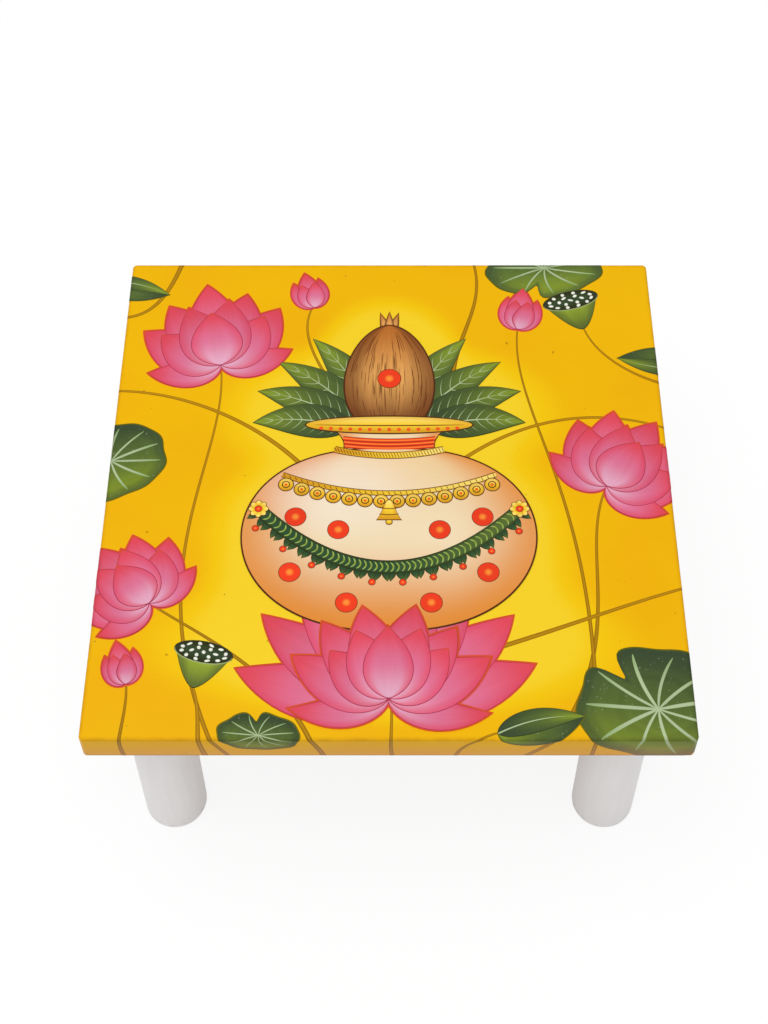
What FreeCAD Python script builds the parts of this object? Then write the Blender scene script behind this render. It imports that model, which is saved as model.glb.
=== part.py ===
# A bajot: a low square table, a painted fibreboard top on four round wooden legs.
# Each leg holds a hanger bolt. Its machine thread screws up into a flanged insert that is
# sunk into the underside of the top. A thin felt pad is stuck under each leg.
# Frame: millimetres, +Z up, +X to the right and +Y to the back, seen from the front.
# The origin is on the floor, under the middle of the table.
import FreeCAD
import Part
import math
import os

# Top board
BOARD_WIDTH = 305.0
BOARD_DEPTH = 305.0
BOARD_THICKNESS = 18.0
BOARD_CORNER_RADIUS = 2.5
BOARD_EDGE_RADIUS = 1.0

# Legs
LEG_DIAMETER = 34.0
LEG_LENGTH = 127.0
LEG_INSET = 32.5  # from each edge of the board to the leg's axis
LEG_RIM_RADIUS = 1.5  # rounding of the lower rim
LEG_SHOULDER_CHAMFER = 0.6  # broken edge under the board

# Felt pads under the legs
PAD_DIAMETER = 26.0
PAD_THICKNESS = 2.0
PAD_RIM_CHAMFER = 0.4

# Threaded inserts, sunk into the underside of the board
SKIN_OVER_INSERT = 4.0  # board left solid above an insert's hole
INSERT_DIAMETER = 12.5
INSERT_PITCH = 2.5
INSERT_THREAD_DEPTH = 0.8
INSERT_FLANGE_DIAMETER = 16.0
INSERT_FLANGE_THICKNESS = 1.2
SOCKET_WALL = 0.25  # from the bore to the socket's flats
SOCKET_DEPTH = 4.0

# Hanger bolts: a machine thread above, a plain collar, a wood thread and point below
BOLT_DIAMETER = 8.0
BOLT_TIP_GAP = 1.0  # from the machine thread's tip to the insert's end
MACHINE_PITCH = 1.25
MACHINE_THREAD_DEPTH = 0.7
MACHINE_TIP_CHAMFER = 0.8
COLLAR_LENGTH = 5.0
WOOD_LENGTH = 30.0  # with its point
WOOD_PITCH = 3.0
WOOD_THREAD_DEPTH = 1.2
WOOD_POINT_LENGTH = 7.0
WOOD_POINT_DIAMETER = 1.0

# Clearances, on the radius or beyond an end
THREAD_CLEARANCE = 0.05
FLANGE_CLEARANCE = 0.2
HOLE_END_CLEARANCE = 1.0

# How far a cutting tool runs past the face that it starts from
CUT_OVERRUN = 2.0

# Where the crest of a thread's ridge starts and ends along its pitch
CREST_SHARES = (0.4, 0.6)

HEXAGON_SIDES = 6

LEG_BOTTOM_Z = PAD_THICKNESS
BOARD_BOTTOM_Z = LEG_BOTTOM_Z + LEG_LENGTH
BOARD_TOP_Z = BOARD_BOTTOM_Z + BOARD_THICKNESS
INSERT_HOLE_TOP_Z = BOARD_TOP_Z - SKIN_OVER_INSERT
INSERT_TOP_Z = INSERT_HOLE_TOP_Z - HOLE_END_CLEARANCE
BOLT_TOP_Z = INSERT_TOP_Z - BOLT_TIP_GAP
COLLAR_BOTTOM_Z = BOARD_BOTTOM_Z - COLLAR_LENGTH
BOLT_BOTTOM_Z = COLLAR_BOTTOM_Z - WOOD_LENGTH
LEG_X = BOARD_WIDTH / 2 - LEG_INSET
LEG_Y = BOARD_DEPTH / 2 - LEG_INSET

# The legs' axes, seen from above
CORNERS = {
    "front_left": (-LEG_X, -LEG_Y),
    "front_right": (LEG_X, -LEG_Y),
    "back_left": (-LEG_X, LEG_Y),
    "back_right": (LEG_X, LEG_Y),
}


def turned(outline):
    """A solid turned about the Z axis from a closed outline of (radius, height) points."""
    points = [FreeCAD.Vector(radius, 0, height) for radius, height in outline]
    face = Part.Face(Part.makePolygon(points + points[:1]))
    return face.revolve(FreeCAD.Vector(), FreeCAD.Vector(0, 0, 1), 360)


def cylinder(diameter, bottom, top):
    """An upright cylinder about the Z axis, between two heights."""
    return Part.makeCylinder(diameter / 2, top - bottom, FreeCAD.Vector(0, 0, bottom))


def at(shape, x, y):
    """A shape that was made about the Z axis, moved across to (x, y)."""
    return shape.translated(FreeCAD.Vector(x, y, 0))


def rim(shape, height):
    """The edges of a shape that lie flat at one height."""
    near = Part.Precision.approximation()
    return [
        edge
        for edge in shape.Edges
        if abs(edge.BoundBox.ZMin - height) < near and abs(edge.BoundBox.ZMax - height) < near
    ]


def uprights(shape):
    """The straight edges of a slab that run through its whole thickness."""
    near = Part.Precision.approximation()
    return [
        edge
        for edge in shape.Edges
        if abs(edge.BoundBox.ZLength - shape.BoundBox.ZLength) < near
    ]


def ridges(bottom, top, pitch, crest, root):
    """The (radius, height) points of a thread's ridges, from its bottom to its top.

    The threads are rings side by side. A whole number of them fills the length, so the
    pitch is kept as nearly as it can be.
    """
    count = max(1, round((top - bottom) / pitch))
    step = (top - bottom) / count
    points = [(root, bottom)]
    for ring in range(count):
        start = bottom + ring * step
        points += [(crest, start + share * step) for share in CREST_SHARES]
        points.append((root, start + step))
    return points


def board():
    """The square top, with rounded corners and edges and a pocket under it for each insert."""
    corner = FreeCAD.Vector(-BOARD_WIDTH / 2, -BOARD_DEPTH / 2, BOARD_BOTTOM_Z)
    slab = Part.makeBox(BOARD_WIDTH, BOARD_DEPTH, BOARD_THICKNESS, corner)
    slab = slab.makeFillet(BOARD_CORNER_RADIUS, uprights(slab))
    rims = rim(slab, BOARD_TOP_Z) + rim(slab, BOARD_BOTTOM_Z)
    slab = slab.makeFillet(BOARD_EDGE_RADIUS, rims)
    for x, y in CORNERS.values():
        slab = slab.cut(at(insert_pocket(), x, y))
    return slab


def insert_pocket():
    """The hole for an insert and the shallow recess for its flange, as one cutting tool."""
    mouth = BOARD_BOTTOM_Z - CUT_OVERRUN
    hole = cylinder(INSERT_DIAMETER + 2 * THREAD_CLEARANCE, mouth, INSERT_HOLE_TOP_Z)
    recess_top = BOARD_BOTTOM_Z + INSERT_FLANGE_THICKNESS
    recess = cylinder(INSERT_FLANGE_DIAMETER + 2 * FLANGE_CLEARANCE, mouth, recess_top)
    return hole.fuse(recess)


def threaded_insert():
    """A flanged insert: coarse thread outside, bore for the bolt, hexagon socket in its mouth."""
    crest = INSERT_DIAMETER / 2
    root = crest - INSERT_THREAD_DEPTH
    bore = BOLT_DIAMETER / 2 + THREAD_CLEARANCE
    flange_top = BOARD_BOTTOM_Z + INSERT_FLANGE_THICKNESS
    outline = [
        (bore, BOARD_BOTTOM_Z),
        (INSERT_FLANGE_DIAMETER / 2, BOARD_BOTTOM_Z),
        (INSERT_FLANGE_DIAMETER / 2, flange_top),
    ]
    outline += ridges(flange_top, INSERT_TOP_Z, INSERT_PITCH, crest, root)
    outline.append((bore, INSERT_TOP_Z))
    return turned(outline).cut(hexagon_socket(bore + SOCKET_WALL))


def hexagon_socket(flat_radius):
    """A hexagon prism with flats at a radius, which cuts the socket for the driving key."""
    corner_radius = flat_radius / math.cos(math.pi / HEXAGON_SIDES)
    turns = [2 * math.pi * side / HEXAGON_SIDES for side in range(HEXAGON_SIDES)]
    start = BOARD_BOTTOM_Z - CUT_OVERRUN
    points = [
        FreeCAD.Vector(corner_radius * math.cos(turn), corner_radius * math.sin(turn), start)
        for turn in turns
    ]
    face = Part.Face(Part.makePolygon(points + points[:1]))
    return face.extrude(FreeCAD.Vector(0, 0, CUT_OVERRUN + SOCKET_DEPTH))


def hanger_bolt():
    """A hanger bolt, from its wood point in the leg up to its machine thread in the insert."""
    crest = BOLT_DIAMETER / 2
    wood_root = crest - WOOD_THREAD_DEPTH
    machine_root = crest - MACHINE_THREAD_DEPTH
    point_top = BOLT_BOTTOM_Z + WOOD_POINT_LENGTH
    thread_top = BOLT_TOP_Z - MACHINE_TIP_CHAMFER
    outline = [(0, BOLT_BOTTOM_Z), (WOOD_POINT_DIAMETER / 2, BOLT_BOTTOM_Z)]
    outline += ridges(point_top, COLLAR_BOTTOM_Z, WOOD_PITCH, crest, wood_root)
    outline += [(crest, COLLAR_BOTTOM_Z), (crest, BOARD_BOTTOM_Z)]
    outline += ridges(BOARD_BOTTOM_Z, thread_top, MACHINE_PITCH, crest, machine_root)
    outline += [(machine_root - MACHINE_TIP_CHAMFER, BOLT_TOP_Z), (0, BOLT_TOP_Z)]
    return turned(outline)


def leg():
    """A round leg with a rounded lower rim and a blind hole for its hanger bolt."""
    post = cylinder(LEG_DIAMETER, LEG_BOTTOM_Z, BOARD_BOTTOM_Z)
    post = post.makeFillet(LEG_RIM_RADIUS, rim(post, LEG_BOTTOM_Z))
    post = post.makeChamfer(LEG_SHOULDER_CHAMFER, rim(post, BOARD_BOTTOM_Z))
    return post.cut(bolt_hole())


def bolt_hole():
    """The hole that is drilled down into a leg: straight, with a tapered end for the point."""
    radius = BOLT_DIAMETER / 2 + THREAD_CLEARANCE
    tip_radius = WOOD_POINT_DIAMETER / 2 + THREAD_CLEARANCE
    end = BOLT_BOTTOM_Z - HOLE_END_CLEARANCE
    mouth = BOARD_BOTTOM_Z + CUT_OVERRUN
    return turned([
        (0, end),
        (tip_radius, end),
        (radius, end + WOOD_POINT_LENGTH),
        (radius, mouth),
        (0, mouth),
    ])


def foot_pad():
    """A round felt pad stuck under a leg, its lower rim slightly broken by use."""
    pad = cylinder(PAD_DIAMETER, 0, LEG_BOTTOM_Z)
    return pad.makeChamfer(PAD_RIM_CHAMFER, rim(pad, 0))


def pieces():
    """Every piece of the table in its place, by name."""
    made = {"top_board": board()}
    corner_pieces = {
        "leg": leg(),
        "hanger_bolt": hanger_bolt(),
        "threaded_insert": threaded_insert(),
        "foot_pad": foot_pad(),
    }
    for corner, (x, y) in CORNERS.items():
        for name, shape in corner_pieces.items():
            made[f"{corner}_{name}"] = at(shape, x, y)
    return made


def main():
    """Writes one STEP file for each piece."""
    os.makedirs("parts", exist_ok=True)
    for name, shape in pieces().items():
        print(f"{name}: solids {len(shape.Solids)}, valid {shape.isValid()}, {shape.Volume:.1f} mm3")
        shape.exportStep(os.path.join("parts", f"{name}.step"))


main()
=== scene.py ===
import functools
import itertools
import logging
import math
from dataclasses import dataclass
from enum import Enum
from typing import Protocol

import bmesh
import bpy
import numpy as np
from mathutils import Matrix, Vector


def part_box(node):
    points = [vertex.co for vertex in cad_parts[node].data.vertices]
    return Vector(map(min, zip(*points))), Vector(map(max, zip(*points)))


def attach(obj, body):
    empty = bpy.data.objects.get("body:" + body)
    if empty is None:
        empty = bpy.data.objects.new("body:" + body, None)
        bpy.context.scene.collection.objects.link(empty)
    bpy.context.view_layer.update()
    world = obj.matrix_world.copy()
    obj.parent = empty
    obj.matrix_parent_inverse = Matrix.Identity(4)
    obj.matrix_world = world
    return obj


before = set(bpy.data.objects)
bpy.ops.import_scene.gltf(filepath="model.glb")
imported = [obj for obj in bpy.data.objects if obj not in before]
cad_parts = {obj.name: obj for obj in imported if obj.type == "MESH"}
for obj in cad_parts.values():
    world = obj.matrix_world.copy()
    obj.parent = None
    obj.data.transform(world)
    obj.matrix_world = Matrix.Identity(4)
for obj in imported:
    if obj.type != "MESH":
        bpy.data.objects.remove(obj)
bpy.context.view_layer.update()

LOG = logging.getLogger("low_table")
MM = 0.001  # metres in a millimetre
BODY = "root"

# The sRGB curve: a straight line up to its knee, and above it a power of the shifted value
SRGB_KNEE = 0.04045
SRGB_SLOPE = 12.92
SRGB_SHIFT = 0.055
SRGB_POWER = 2.4

Point = tuple[float, float]
Place = tuple[float, float, float]
Points = tuple | list | np.ndarray
Node = bpy.types.Node
Socket = bpy.types.NodeSocket
Material = bpy.types.Material
Tree = bpy.types.NodeTree


class Pigment(Enum):
    """Colours as a screen shows them, with red, green and blue from 0 to 255."""

    GOLDEN = (240, 183, 0)
    GOLDEN_DEEP = (238, 176, 0)
    GLOW = (243, 197, 4)
    GLOW_CORE = (245, 208, 38)
    # Painted light: the pale haze of a reflection down the board's edges
    EDGE_REFLECTION = (227, 151, 129)
    # Painted light: shade along the board's rims
    EDGE_SHADE = (150, 100, 36)
    FIBREBOARD = (182, 146, 104)
    FIBRE_DARK = (134, 100, 66)
    SPECK = (122, 78, 12)
    WHITE = (249, 246, 245)
    OFF_WHITE = (245, 242, 241)
    SCUFF = (176, 172, 166)
    PETAL_ROOT = (226, 168, 192)
    PETAL_MIDDLE = (219, 112, 146)
    PETAL_TIP = (221, 70, 86)
    PETAL_EDGE = (219, 72, 100)
    PETAL_LINE = (168, 50, 82)
    RIM_RED = (230, 84, 52)
    RIM_RUST = (212, 78, 42)
    LEAF_DARK = (56, 72, 46)
    LEAF_MIDDLE = (86, 106, 48)
    LEAF_LIGHT = (132, 150, 42)
    LEAF_LINE = (44, 52, 14)
    PAD_RIM = (106, 102, 12)
    POD_LIGHT = (160, 178, 54)
    POD_MIDDLE = (128, 146, 46)
    POD_DARK = (90, 102, 44)
    VEIN = (176, 192, 152)
    VEIN_SOFT = (146, 172, 116)
    STEM = (140, 98, 6)
    STEM_LIGHT = (184, 134, 10)
    CREAM = (241, 221, 184)
    CREAM_WARM = (239, 206, 156)
    ORANGE = (226, 140, 54)
    INK_BROWN = (104, 50, 10)
    INK_DARK = (44, 26, 18)
    HUSK = (190, 112, 44)
    HUSK_LIGHT = (232, 168, 92)
    HUSK_DARK = (112, 58, 24)
    GOLD = (247, 204, 50)
    GOLD_LIGHT = (253, 226, 118)
    GOLD_DEEP = (216, 154, 30)
    VERMILION = (238, 62, 30)
    VERMILION_LIGHT = (255, 146, 54)
    GARLAND = (46, 76, 46)
    GARLAND_LIGHT = (160, 184, 96)
    SEED = (240, 240, 228)
    ZINC = (186, 188, 190)
    ZINC_BLUE = (170, 178, 186)
    BRASS = (216, 182, 112)
    BRASS_DARK = (168, 128, 62)
    FELT = (92, 84, 76)
    FELT_DARK = (58, 52, 47)

    @property
    def linear(self) -> tuple[float, ...]:
        """The colour in linear light, as a shader takes it.

        Returns:
            Red, green and blue from 0 to 1, and a full alpha.
        """
        shares = np.array(self.value) / 255
        curved = ((shares + SRGB_SHIFT) / (1 + SRGB_SHIFT)) ** SRGB_POWER
        red, green, blue = np.where(shares > SRGB_KNEE, curved, shares / SRGB_SLOPE).tolist()
        return red, green, blue, 1.0


Value = float | tuple | Pigment | Socket
Values = dict[str | int, Value]

# The Mix node's sockets for colours: the share, the lower and the upper one, and the mixture
MIX_INPUTS = (0, 6, 7)
MIXED = 2


class Graph:
    """Adds nodes to one node tree and joins them, so that a finish reads as a few sums."""

    def __init__(self, tree: Tree) -> None:
        """Keeps the tree of a material, of a group or of the world."""
        self.tree = tree

    def feed(self, node: Node, values: Values) -> None:
        """Links a node's inputs, and sets those that take a constant.

        Args:
            node: The node.
            values: Another node's output, a pigment or a constant for each input.
        """
        for key, value in values.items():
            socket = node.inputs[key]
            if isinstance(value, Socket):
                self.tree.links.new(value, socket)
            else:
                socket.default_value = value.linear if isinstance(value, Pigment) else value

    def add(self, kind: str, values: Values | None = None, **settings: object) -> Node:
        """Adds a node.

        Args:
            kind: The node's type name.
            values: What its inputs take, by name or number.
            **settings: The node's own properties.

        Returns:
            The new node.
        """
        node = self.tree.nodes.new(kind)
        for name, setting in settings.items():
            setattr(node, name, setting)
        self.feed(node, values or {})
        return node

    def group(self, tree: Tree, values: Values) -> bpy.types.NodeOutputs:
        """The outputs of a node group, with its named inputs fed."""
        return self.add("ShaderNodeGroup", values, node_tree=tree).outputs

    def calc(self, operation: str, *values: Value, clamp: bool = False) -> Socket:
        """The result of one Math node, kept from 0 to 1 where it clamps."""
        inputs = dict(enumerate(values))
        return self.add("ShaderNodeMath", inputs, operation=operation, use_clamp=clamp).outputs[0]

    def times(self, first: Value, second: Value) -> Socket:
        """The product of two values."""
        return self.calc("MULTIPLY", first, second)

    def less(self, first: Value, second: Value) -> Socket:
        """The first value less the second."""
        return self.calc("SUBTRACT", first, second)

    def vector(self, operation: str, *values: Value) -> Node:
        """A Vector Math node."""
        return self.add("ShaderNodeVectorMath", dict(enumerate(values)), operation=operation)

    def step(
        self, value: Value, low: Value, high: Value, start: float = 0.0, end: float = 1.0
    ) -> Socket:
        """A smooth step, which goes from start to end as a value goes from low to high."""
        values = {"Value": value, "From Min": low, "From Max": high, "To Min": start, "To Max": end}
        return self.add("ShaderNodeMapRange", values, interpolation_type="SMOOTHSTEP").outputs[0]

    def blend(self, share: Value, first: Value, second: Value, mode: str = "MIX") -> Socket:
        """A colour with a share of a second one blended over it."""
        values = dict(zip(MIX_INPUTS, (share, first, second)))
        return self.add("ShaderNodeMix", values, data_type="RGBA", blend_type=mode).outputs[MIXED]

    def noise(
        self, place: Value, scale: Value, detail: float = 2.0, roughness: float = 0.5
    ) -> Socket:
        """Cloudy noise from 0 to 1.

        Args:
            place: The vector that it is read at.
            scale: How many clouds come to a unit of length, one number for all three
                directions or one for each.
            detail: How many finer octaves it has.
            roughness: How strong the finer ones are.

        Returns:
            The noise.
        """
        if isinstance(scale, tuple):
            place, scale = self.vector("MULTIPLY", place, scale).outputs[0], 1.0
        values = {"Vector": place, "Scale": scale, "Detail": detail, "Roughness": roughness}
        return self.add("ShaderNodeTexNoise", values).outputs["Fac"]

    def split(self, vector: Value) -> tuple[Socket, ...]:
        """The three coordinates of a vector."""
        return tuple(self.add("ShaderNodeSeparateXYZ", {0: vector}).outputs)

    def reach(self, x: Value, y: Value) -> Socket:
        """How far a point is from the middle line, as a square's sides measure it."""
        return self.calc("MAXIMUM", self.calc("ABSOLUTE", x), self.calc("ABSOLUTE", y))

    def place(self) -> Socket:
        """Object coordinates: metres in the table's own frame, because no piece is moved."""
        return self.add("ShaderNodeTexCoord").outputs["Object"]


class Effects:
    """The node groups that several finishes share, each built once.

    Spans are the values over which a smooth step runs. Scales are clouds of noise to a metre.
    """

    SOCKETS = {"f": "NodeSocketFloat", "v": "NodeSocketVector", "c": "NodeSocketColor"}

    # Airbrush
    MIDDLE_SPAN = (0.0, 0.55)  # where along a form the middle colour comes in
    TIP_SPAN = (0.45, 1.0)  # and where the tip's does
    STREAK_ALONG = 1.7  # streaks end to end along a form
    TINT_SHIFT = 31.0  # how far one form's streaks lie from another's in the noise
    STREAK_DETAIL = 3.0

    # Satin lacquer
    GRAIN_SCALE = 1500.0
    WAVE_SCALE = 95.0
    CLOUD_SCALE = 22.0
    CLOUD_DETAIL = 3.0
    BRUSH_SCALES = (40.0, 900.0, 900.0)
    GRAIN_HEIGHT = 0.5
    WAVE_HEIGHT = 2.2
    BRUSH_HEIGHT = 0.35
    GLOSS_SPREAD = 0.1  # how much the roughness varies

    # Board edge, with distances in radii of the arris: painted reflection and painted shade
    RIM_SHADE_SCALE = 160.0
    RIM_SHADE_STEP = (0.3, 0.7, 0.14, 0.3)  # from the noise to how dark the painted shade on the face's rim is
    # where the painted shade along the face's rim fades, inwards and then down the arris
    LIP_INWARD = (0.3, 2.4)
    LIP_DOWN = (0.6, 1.8)
    ARRIS_STEP = (0.5, 1.9, 0.85, 0.0)  # how dark the painted shade on the lower arris is, up from the underside
    # where the painted reflection comes in down the edge, as a share of the board's thickness
    SIDE_SPAN = (0.0, 1.1)

    @classmethod
    def started(
        cls, name: str, takes: dict[str, str], gives: dict[str, str]
    ) -> tuple[Graph, dict[str, Socket], Node]:
        """Starts a node group.

        Args:
            name: The group's name.
            takes: Its inputs by name, each f for a float, v for a vector or c for a colour.
            gives: Its outputs, in the same way.

        Returns:
            The group's graph, its inputs by name, and the node that its outputs go to.
        """
        tree = bpy.data.node_groups.new(name, "ShaderNodeTree")
        for direction, sockets in (("INPUT", takes), ("OUTPUT", gives)):
            for label, kind in sockets.items():
                tree.interface.new_socket(label, in_out=direction, socket_type=cls.SOCKETS[kind])
        graph = Graph(tree)
        source = graph.add("NodeGroupInput")
        sink = graph.add("NodeGroupOutput")
        return graph, {label: source.outputs[label] for label in takes}, sink

    @classmethod
    @functools.cache
    def airbrush(cls) -> Tree:
        """Shades one painted form.

        The colour goes from Root through Middle to Tip as Along goes from 0 to 1. It turns
        to Edge as the size of Across goes from Edge From to Edge To. Streaks run along the
        form, and Tint makes one form a little lighter than the next.

        Returns:
            The group's tree, which puts out Colour.
        """
        takes = dict.fromkeys(("Across", "Along", "Tint"), "f")
        takes |= dict.fromkeys(("Root", "Middle", "Tip", "Edge"), "c")
        takes |= dict.fromkeys(("Edge From", "Edge To", "Edge Amount"), "f")
        takes |= dict.fromkeys(("Streaks", "Streak Count", "Spread"), "f")
        graph, given, sink = cls.started("airbrush", takes, {"Colour": "c"})
        inwards = graph.step(given["Along"], *cls.MIDDLE_SPAN)
        lower = graph.blend(inwards, given["Root"], given["Middle"])
        body = graph.blend(graph.step(given["Along"], *cls.TIP_SPAN), lower, given["Tip"])
        side = graph.calc("ABSOLUTE", given["Across"])
        rim = graph.step(side, given["Edge From"], given["Edge To"])
        shaded = graph.blend(graph.times(rim, given["Edge Amount"]), body, given["Edge"])
        strand = (
            graph.times(given["Across"], given["Streak Count"]),
            graph.times(given["Along"], cls.STREAK_ALONG),
            graph.times(given["Tint"], cls.TINT_SHIFT),
        )
        place = graph.add("ShaderNodeCombineXYZ", dict(enumerate(strand))).outputs[0]
        streak = graph.less(graph.noise(place, 1.0, cls.STREAK_DETAIL), 0.5)
        light = graph.calc("MULTIPLY_ADD", streak, given["Streaks"], 1.0)
        lift = graph.less(given["Tint"], 0.5)
        light = graph.calc("MULTIPLY_ADD", lift, given["Spread"], light)
        graph.feed(sink, {"Colour": graph.blend(1.0, shaded, light, "MULTIPLY")})
        return graph.tree

    @classmethod
    @functools.cache
    def lacquer(cls) -> Tree:
        """A satin clear coat: a fine grain, soft waves and slightly uneven gloss and tone.

        Height is for a bump, Roughness for the gloss, and Mottle multiplies the colour.

        Returns:
            The group's tree.
        """
        takes = {"Position": "v", "Roughness": "f", "Unevenness": "f"}
        gives = {"Roughness": "f", "Height": "f", "Mottle": "f"}
        graph, given, sink = cls.started("satin_lacquer", takes, gives)
        grain = graph.noise(given["Position"], cls.GRAIN_SCALE)
        wave = graph.noise(given["Position"], cls.WAVE_SCALE)
        cloud = graph.noise(given["Position"], cls.CLOUD_SCALE, cls.CLOUD_DETAIL)
        brushed = graph.noise(given["Position"], cls.BRUSH_SCALES)
        height = graph.times(grain, cls.GRAIN_HEIGHT)
        height = graph.calc("MULTIPLY_ADD", wave, cls.WAVE_HEIGHT, height)
        height = graph.calc("MULTIPLY_ADD", brushed, cls.BRUSH_HEIGHT, height)
        gloss = graph.less(graph.calc("ADD", grain, cloud), 1.0)
        spread = (gloss, cls.GLOSS_SPREAD, given["Roughness"])
        rough = graph.calc("MULTIPLY_ADD", *spread, clamp=True)
        tone = graph.less(graph.calc("ADD", cloud, brushed), 1.0)
        mottle = graph.calc("MULTIPLY_ADD", tone, given["Unevenness"], 1.0)
        graph.feed(sink, {"Roughness": rough, "Height": height, "Mottle": mottle})
        return graph.tree

    @classmethod
    @functools.cache
    def soft_oval(cls) -> Tree:
        """A mask that is 1 inside an oval and fades to 0 over a distance outside its rim.

        The distance is worked out as the oval's own radius times how far past it the point is.

        Returns:
            The group's tree, which puts out Mask.
        """
        takes = {"Position": "v", "Middle": "v", "Radii": "v", "Fade": "f"}
        graph, given, sink = cls.started("soft_oval", takes, {"Mask": "f"})
        offset = graph.vector("SUBTRACT", given["Position"], given["Middle"]).outputs[0]
        scaled = graph.vector("DIVIDE", offset, given["Radii"]).outputs[0]
        past = graph.less(graph.vector("LENGTH", scaled).outputs["Value"], 1.0)
        across, along, _ = graph.split(given["Radii"])
        distance = graph.times(past, graph.calc("MINIMUM", across, along))
        graph.feed(sink, {"Mask": graph.step(distance, 0.0, given["Fade"], 1.0, 0.0)})
        return graph.tree

    @classmethod
    @functools.cache
    def board_edge(cls) -> Tree:
        """Where a point lies on the board's edges.

        Side goes from 0 at the upper face to 1 at the lower; it sets how far a painted reflection
        pales the paint there. Shade is painted shade: faint and patchy along the face's rim, where
        the arris turns from the light, and darker along the lower arris. Top and Bottom are the
        heights of the board's faces, Half is half its width and Radius is that of its arrises, all
        in metres.

        Returns:
            The group's tree.
        """
        takes = {"Position": "v", "Top": "f", "Bottom": "f", "Half": "f", "Radius": "f"}
        graph, given, sink = cls.started("board_edge", takes, {"Side": "f", "Shade": "f"})
        x, y, height = graph.split(given["Position"])
        below = graph.less(given["Top"], height)
        above = graph.less(height, given["Bottom"])
        inset = graph.less(given["Half"], graph.reach(x, y))
        depth, rise, inward = (
            graph.calc("DIVIDE", length, given["Radius"]) for length in (below, above, inset)
        )
        thickness = graph.less(given["Top"], given["Bottom"])
        # Painted shade along the face's rim, where the arris turns from the light, patchy by noise
        patchy_shade = graph.step(graph.noise(given["Position"], cls.RIM_SHADE_SCALE), *cls.RIM_SHADE_STEP)
        inner = graph.step(inward, *cls.LIP_INWARD, 1.0, 0.0)
        lip = graph.times(inner, graph.step(depth, *cls.LIP_DOWN, 1.0, 0.0))
        upper = graph.times(lip, patchy_shade)
        # Painted shade along the lower arris
        lower = graph.step(rise, *cls.ARRIS_STEP)
        # How far down the edge the point is, for the painted reflection
        side = graph.step(graph.calc("DIVIDE", below, thickness), *cls.SIDE_SPAN)
        graph.feed(sink, {"Side": side, "Shade": graph.calc("MAXIMUM", upper, lower)})
        return graph.tree


class Shading(Graph):
    """The graph of a new material, with its Principled shader."""

    def __init__(self, name: str) -> None:
        """Starts the material.

        Args:
            name: Its name.
        """
        self.material = bpy.data.materials.new(name)
        self.material.use_nodes = True
        super().__init__(self.material.node_tree)
        self.shader = self.tree.nodes["Principled BSDF"]


@dataclass(frozen=True)
class Surface:
    """How a finish takes light: the numbers that are the same all over it."""

    roughness: float = 0.38
    specular: float = 0.08
    bump: float = 0.12
    bump_depth: float = 0.00004  # metres
    unevenness: float = 0.035

    def coat(self, graph: Shading, colour: Value) -> None:
        """Dresses a material in satin lacquer over a colour.

        Args:
            graph: The material's graph.
            colour: The paint's colour before the lacquer's mottling.
        """
        values = {"Roughness": self.roughness, "Unevenness": self.unevenness}
        lacquer = graph.group(Effects.lacquer(), {"Position": graph.place(), **values})
        mottled = graph.blend(1.0, colour, lacquer["Mottle"], "MULTIPLY")
        gloss = {"Roughness": lacquer["Roughness"], "Specular IOR Level": self.specular}
        graph.feed(graph.shader, {"Base Color": mottled, **gloss})
        self.roughen(graph, lacquer["Height"])

    def roughen(self, graph: Shading, height: Value) -> None:
        """Feeds a height to a material's normal through a Bump node."""
        values = {"Strength": self.bump, "Distance": self.bump_depth, "Height": height}
        graph.feed(graph.shader, {"Normal": graph.add("ShaderNodeBump", values).outputs[0]})


@dataclass(frozen=True)
class Oval:
    """A soft oval of light on the board's face: its middle, its radii and its fade, in mm."""

    x: float
    y: float
    radius_x: float
    radius_y: float
    fade: float
    radius_z: float = 1000.0  # so tall that only the place across the face counts

    def mask(self, graph: Graph, height: float) -> Socket:
        """The oval's mask over Object coordinates.

        Args:
            graph: The material's graph.
            height: The height of the face, in metres.

        Returns:
            1 inside the oval, and less outside.
        """
        values = {
            "Position": graph.place(),
            "Middle": (self.x * MM, self.y * MM, height),
            "Radii": (self.radius_x * MM, self.radius_y * MM, self.radius_z * MM),
            "Fade": self.fade * MM,
        }
        return graph.group(Effects.soft_oval(), values)["Mask"]


@dataclass(frozen=True)
class BoardEdge:
    """Painted reflection down the board's edges and painted shade along their rims; sizes in
    metres.
    """

    top: float  # height of the face
    bottom: float  # height of the underside
    half: float  # half the board's width
    radius: float  # rounding of the arrises

    def with_painted_edge_light(self, graph: Graph, colour: Value, edge_reflection: float) -> Socket:
        """The colour with a painted reflection paling it down the edges and painted shade on their
        rims.

        Args:
            graph: The material's graph.
            colour: The paint's colour on the face.
            edge_reflection: How strongly the painted reflection pales it down the edges.

        Returns:
            The colour, the same on the face and changed on the edges.
        """
        values = {"Top": self.top, "Bottom": self.bottom, "Half": self.half, "Radius": self.radius}
        edge = graph.group(Effects.board_edge(), {"Position": graph.place(), **values})
        # Painted reflection: the paint turns paler towards the underside of the edges
        colour = graph.blend(graph.times(edge["Side"], edge_reflection), colour, Pigment.EDGE_REFLECTION)
        # Painted shade along the face's rim and the lower arris
        return graph.blend(edge["Shade"], colour, Pigment.EDGE_SHADE, "MULTIPLY")


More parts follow.
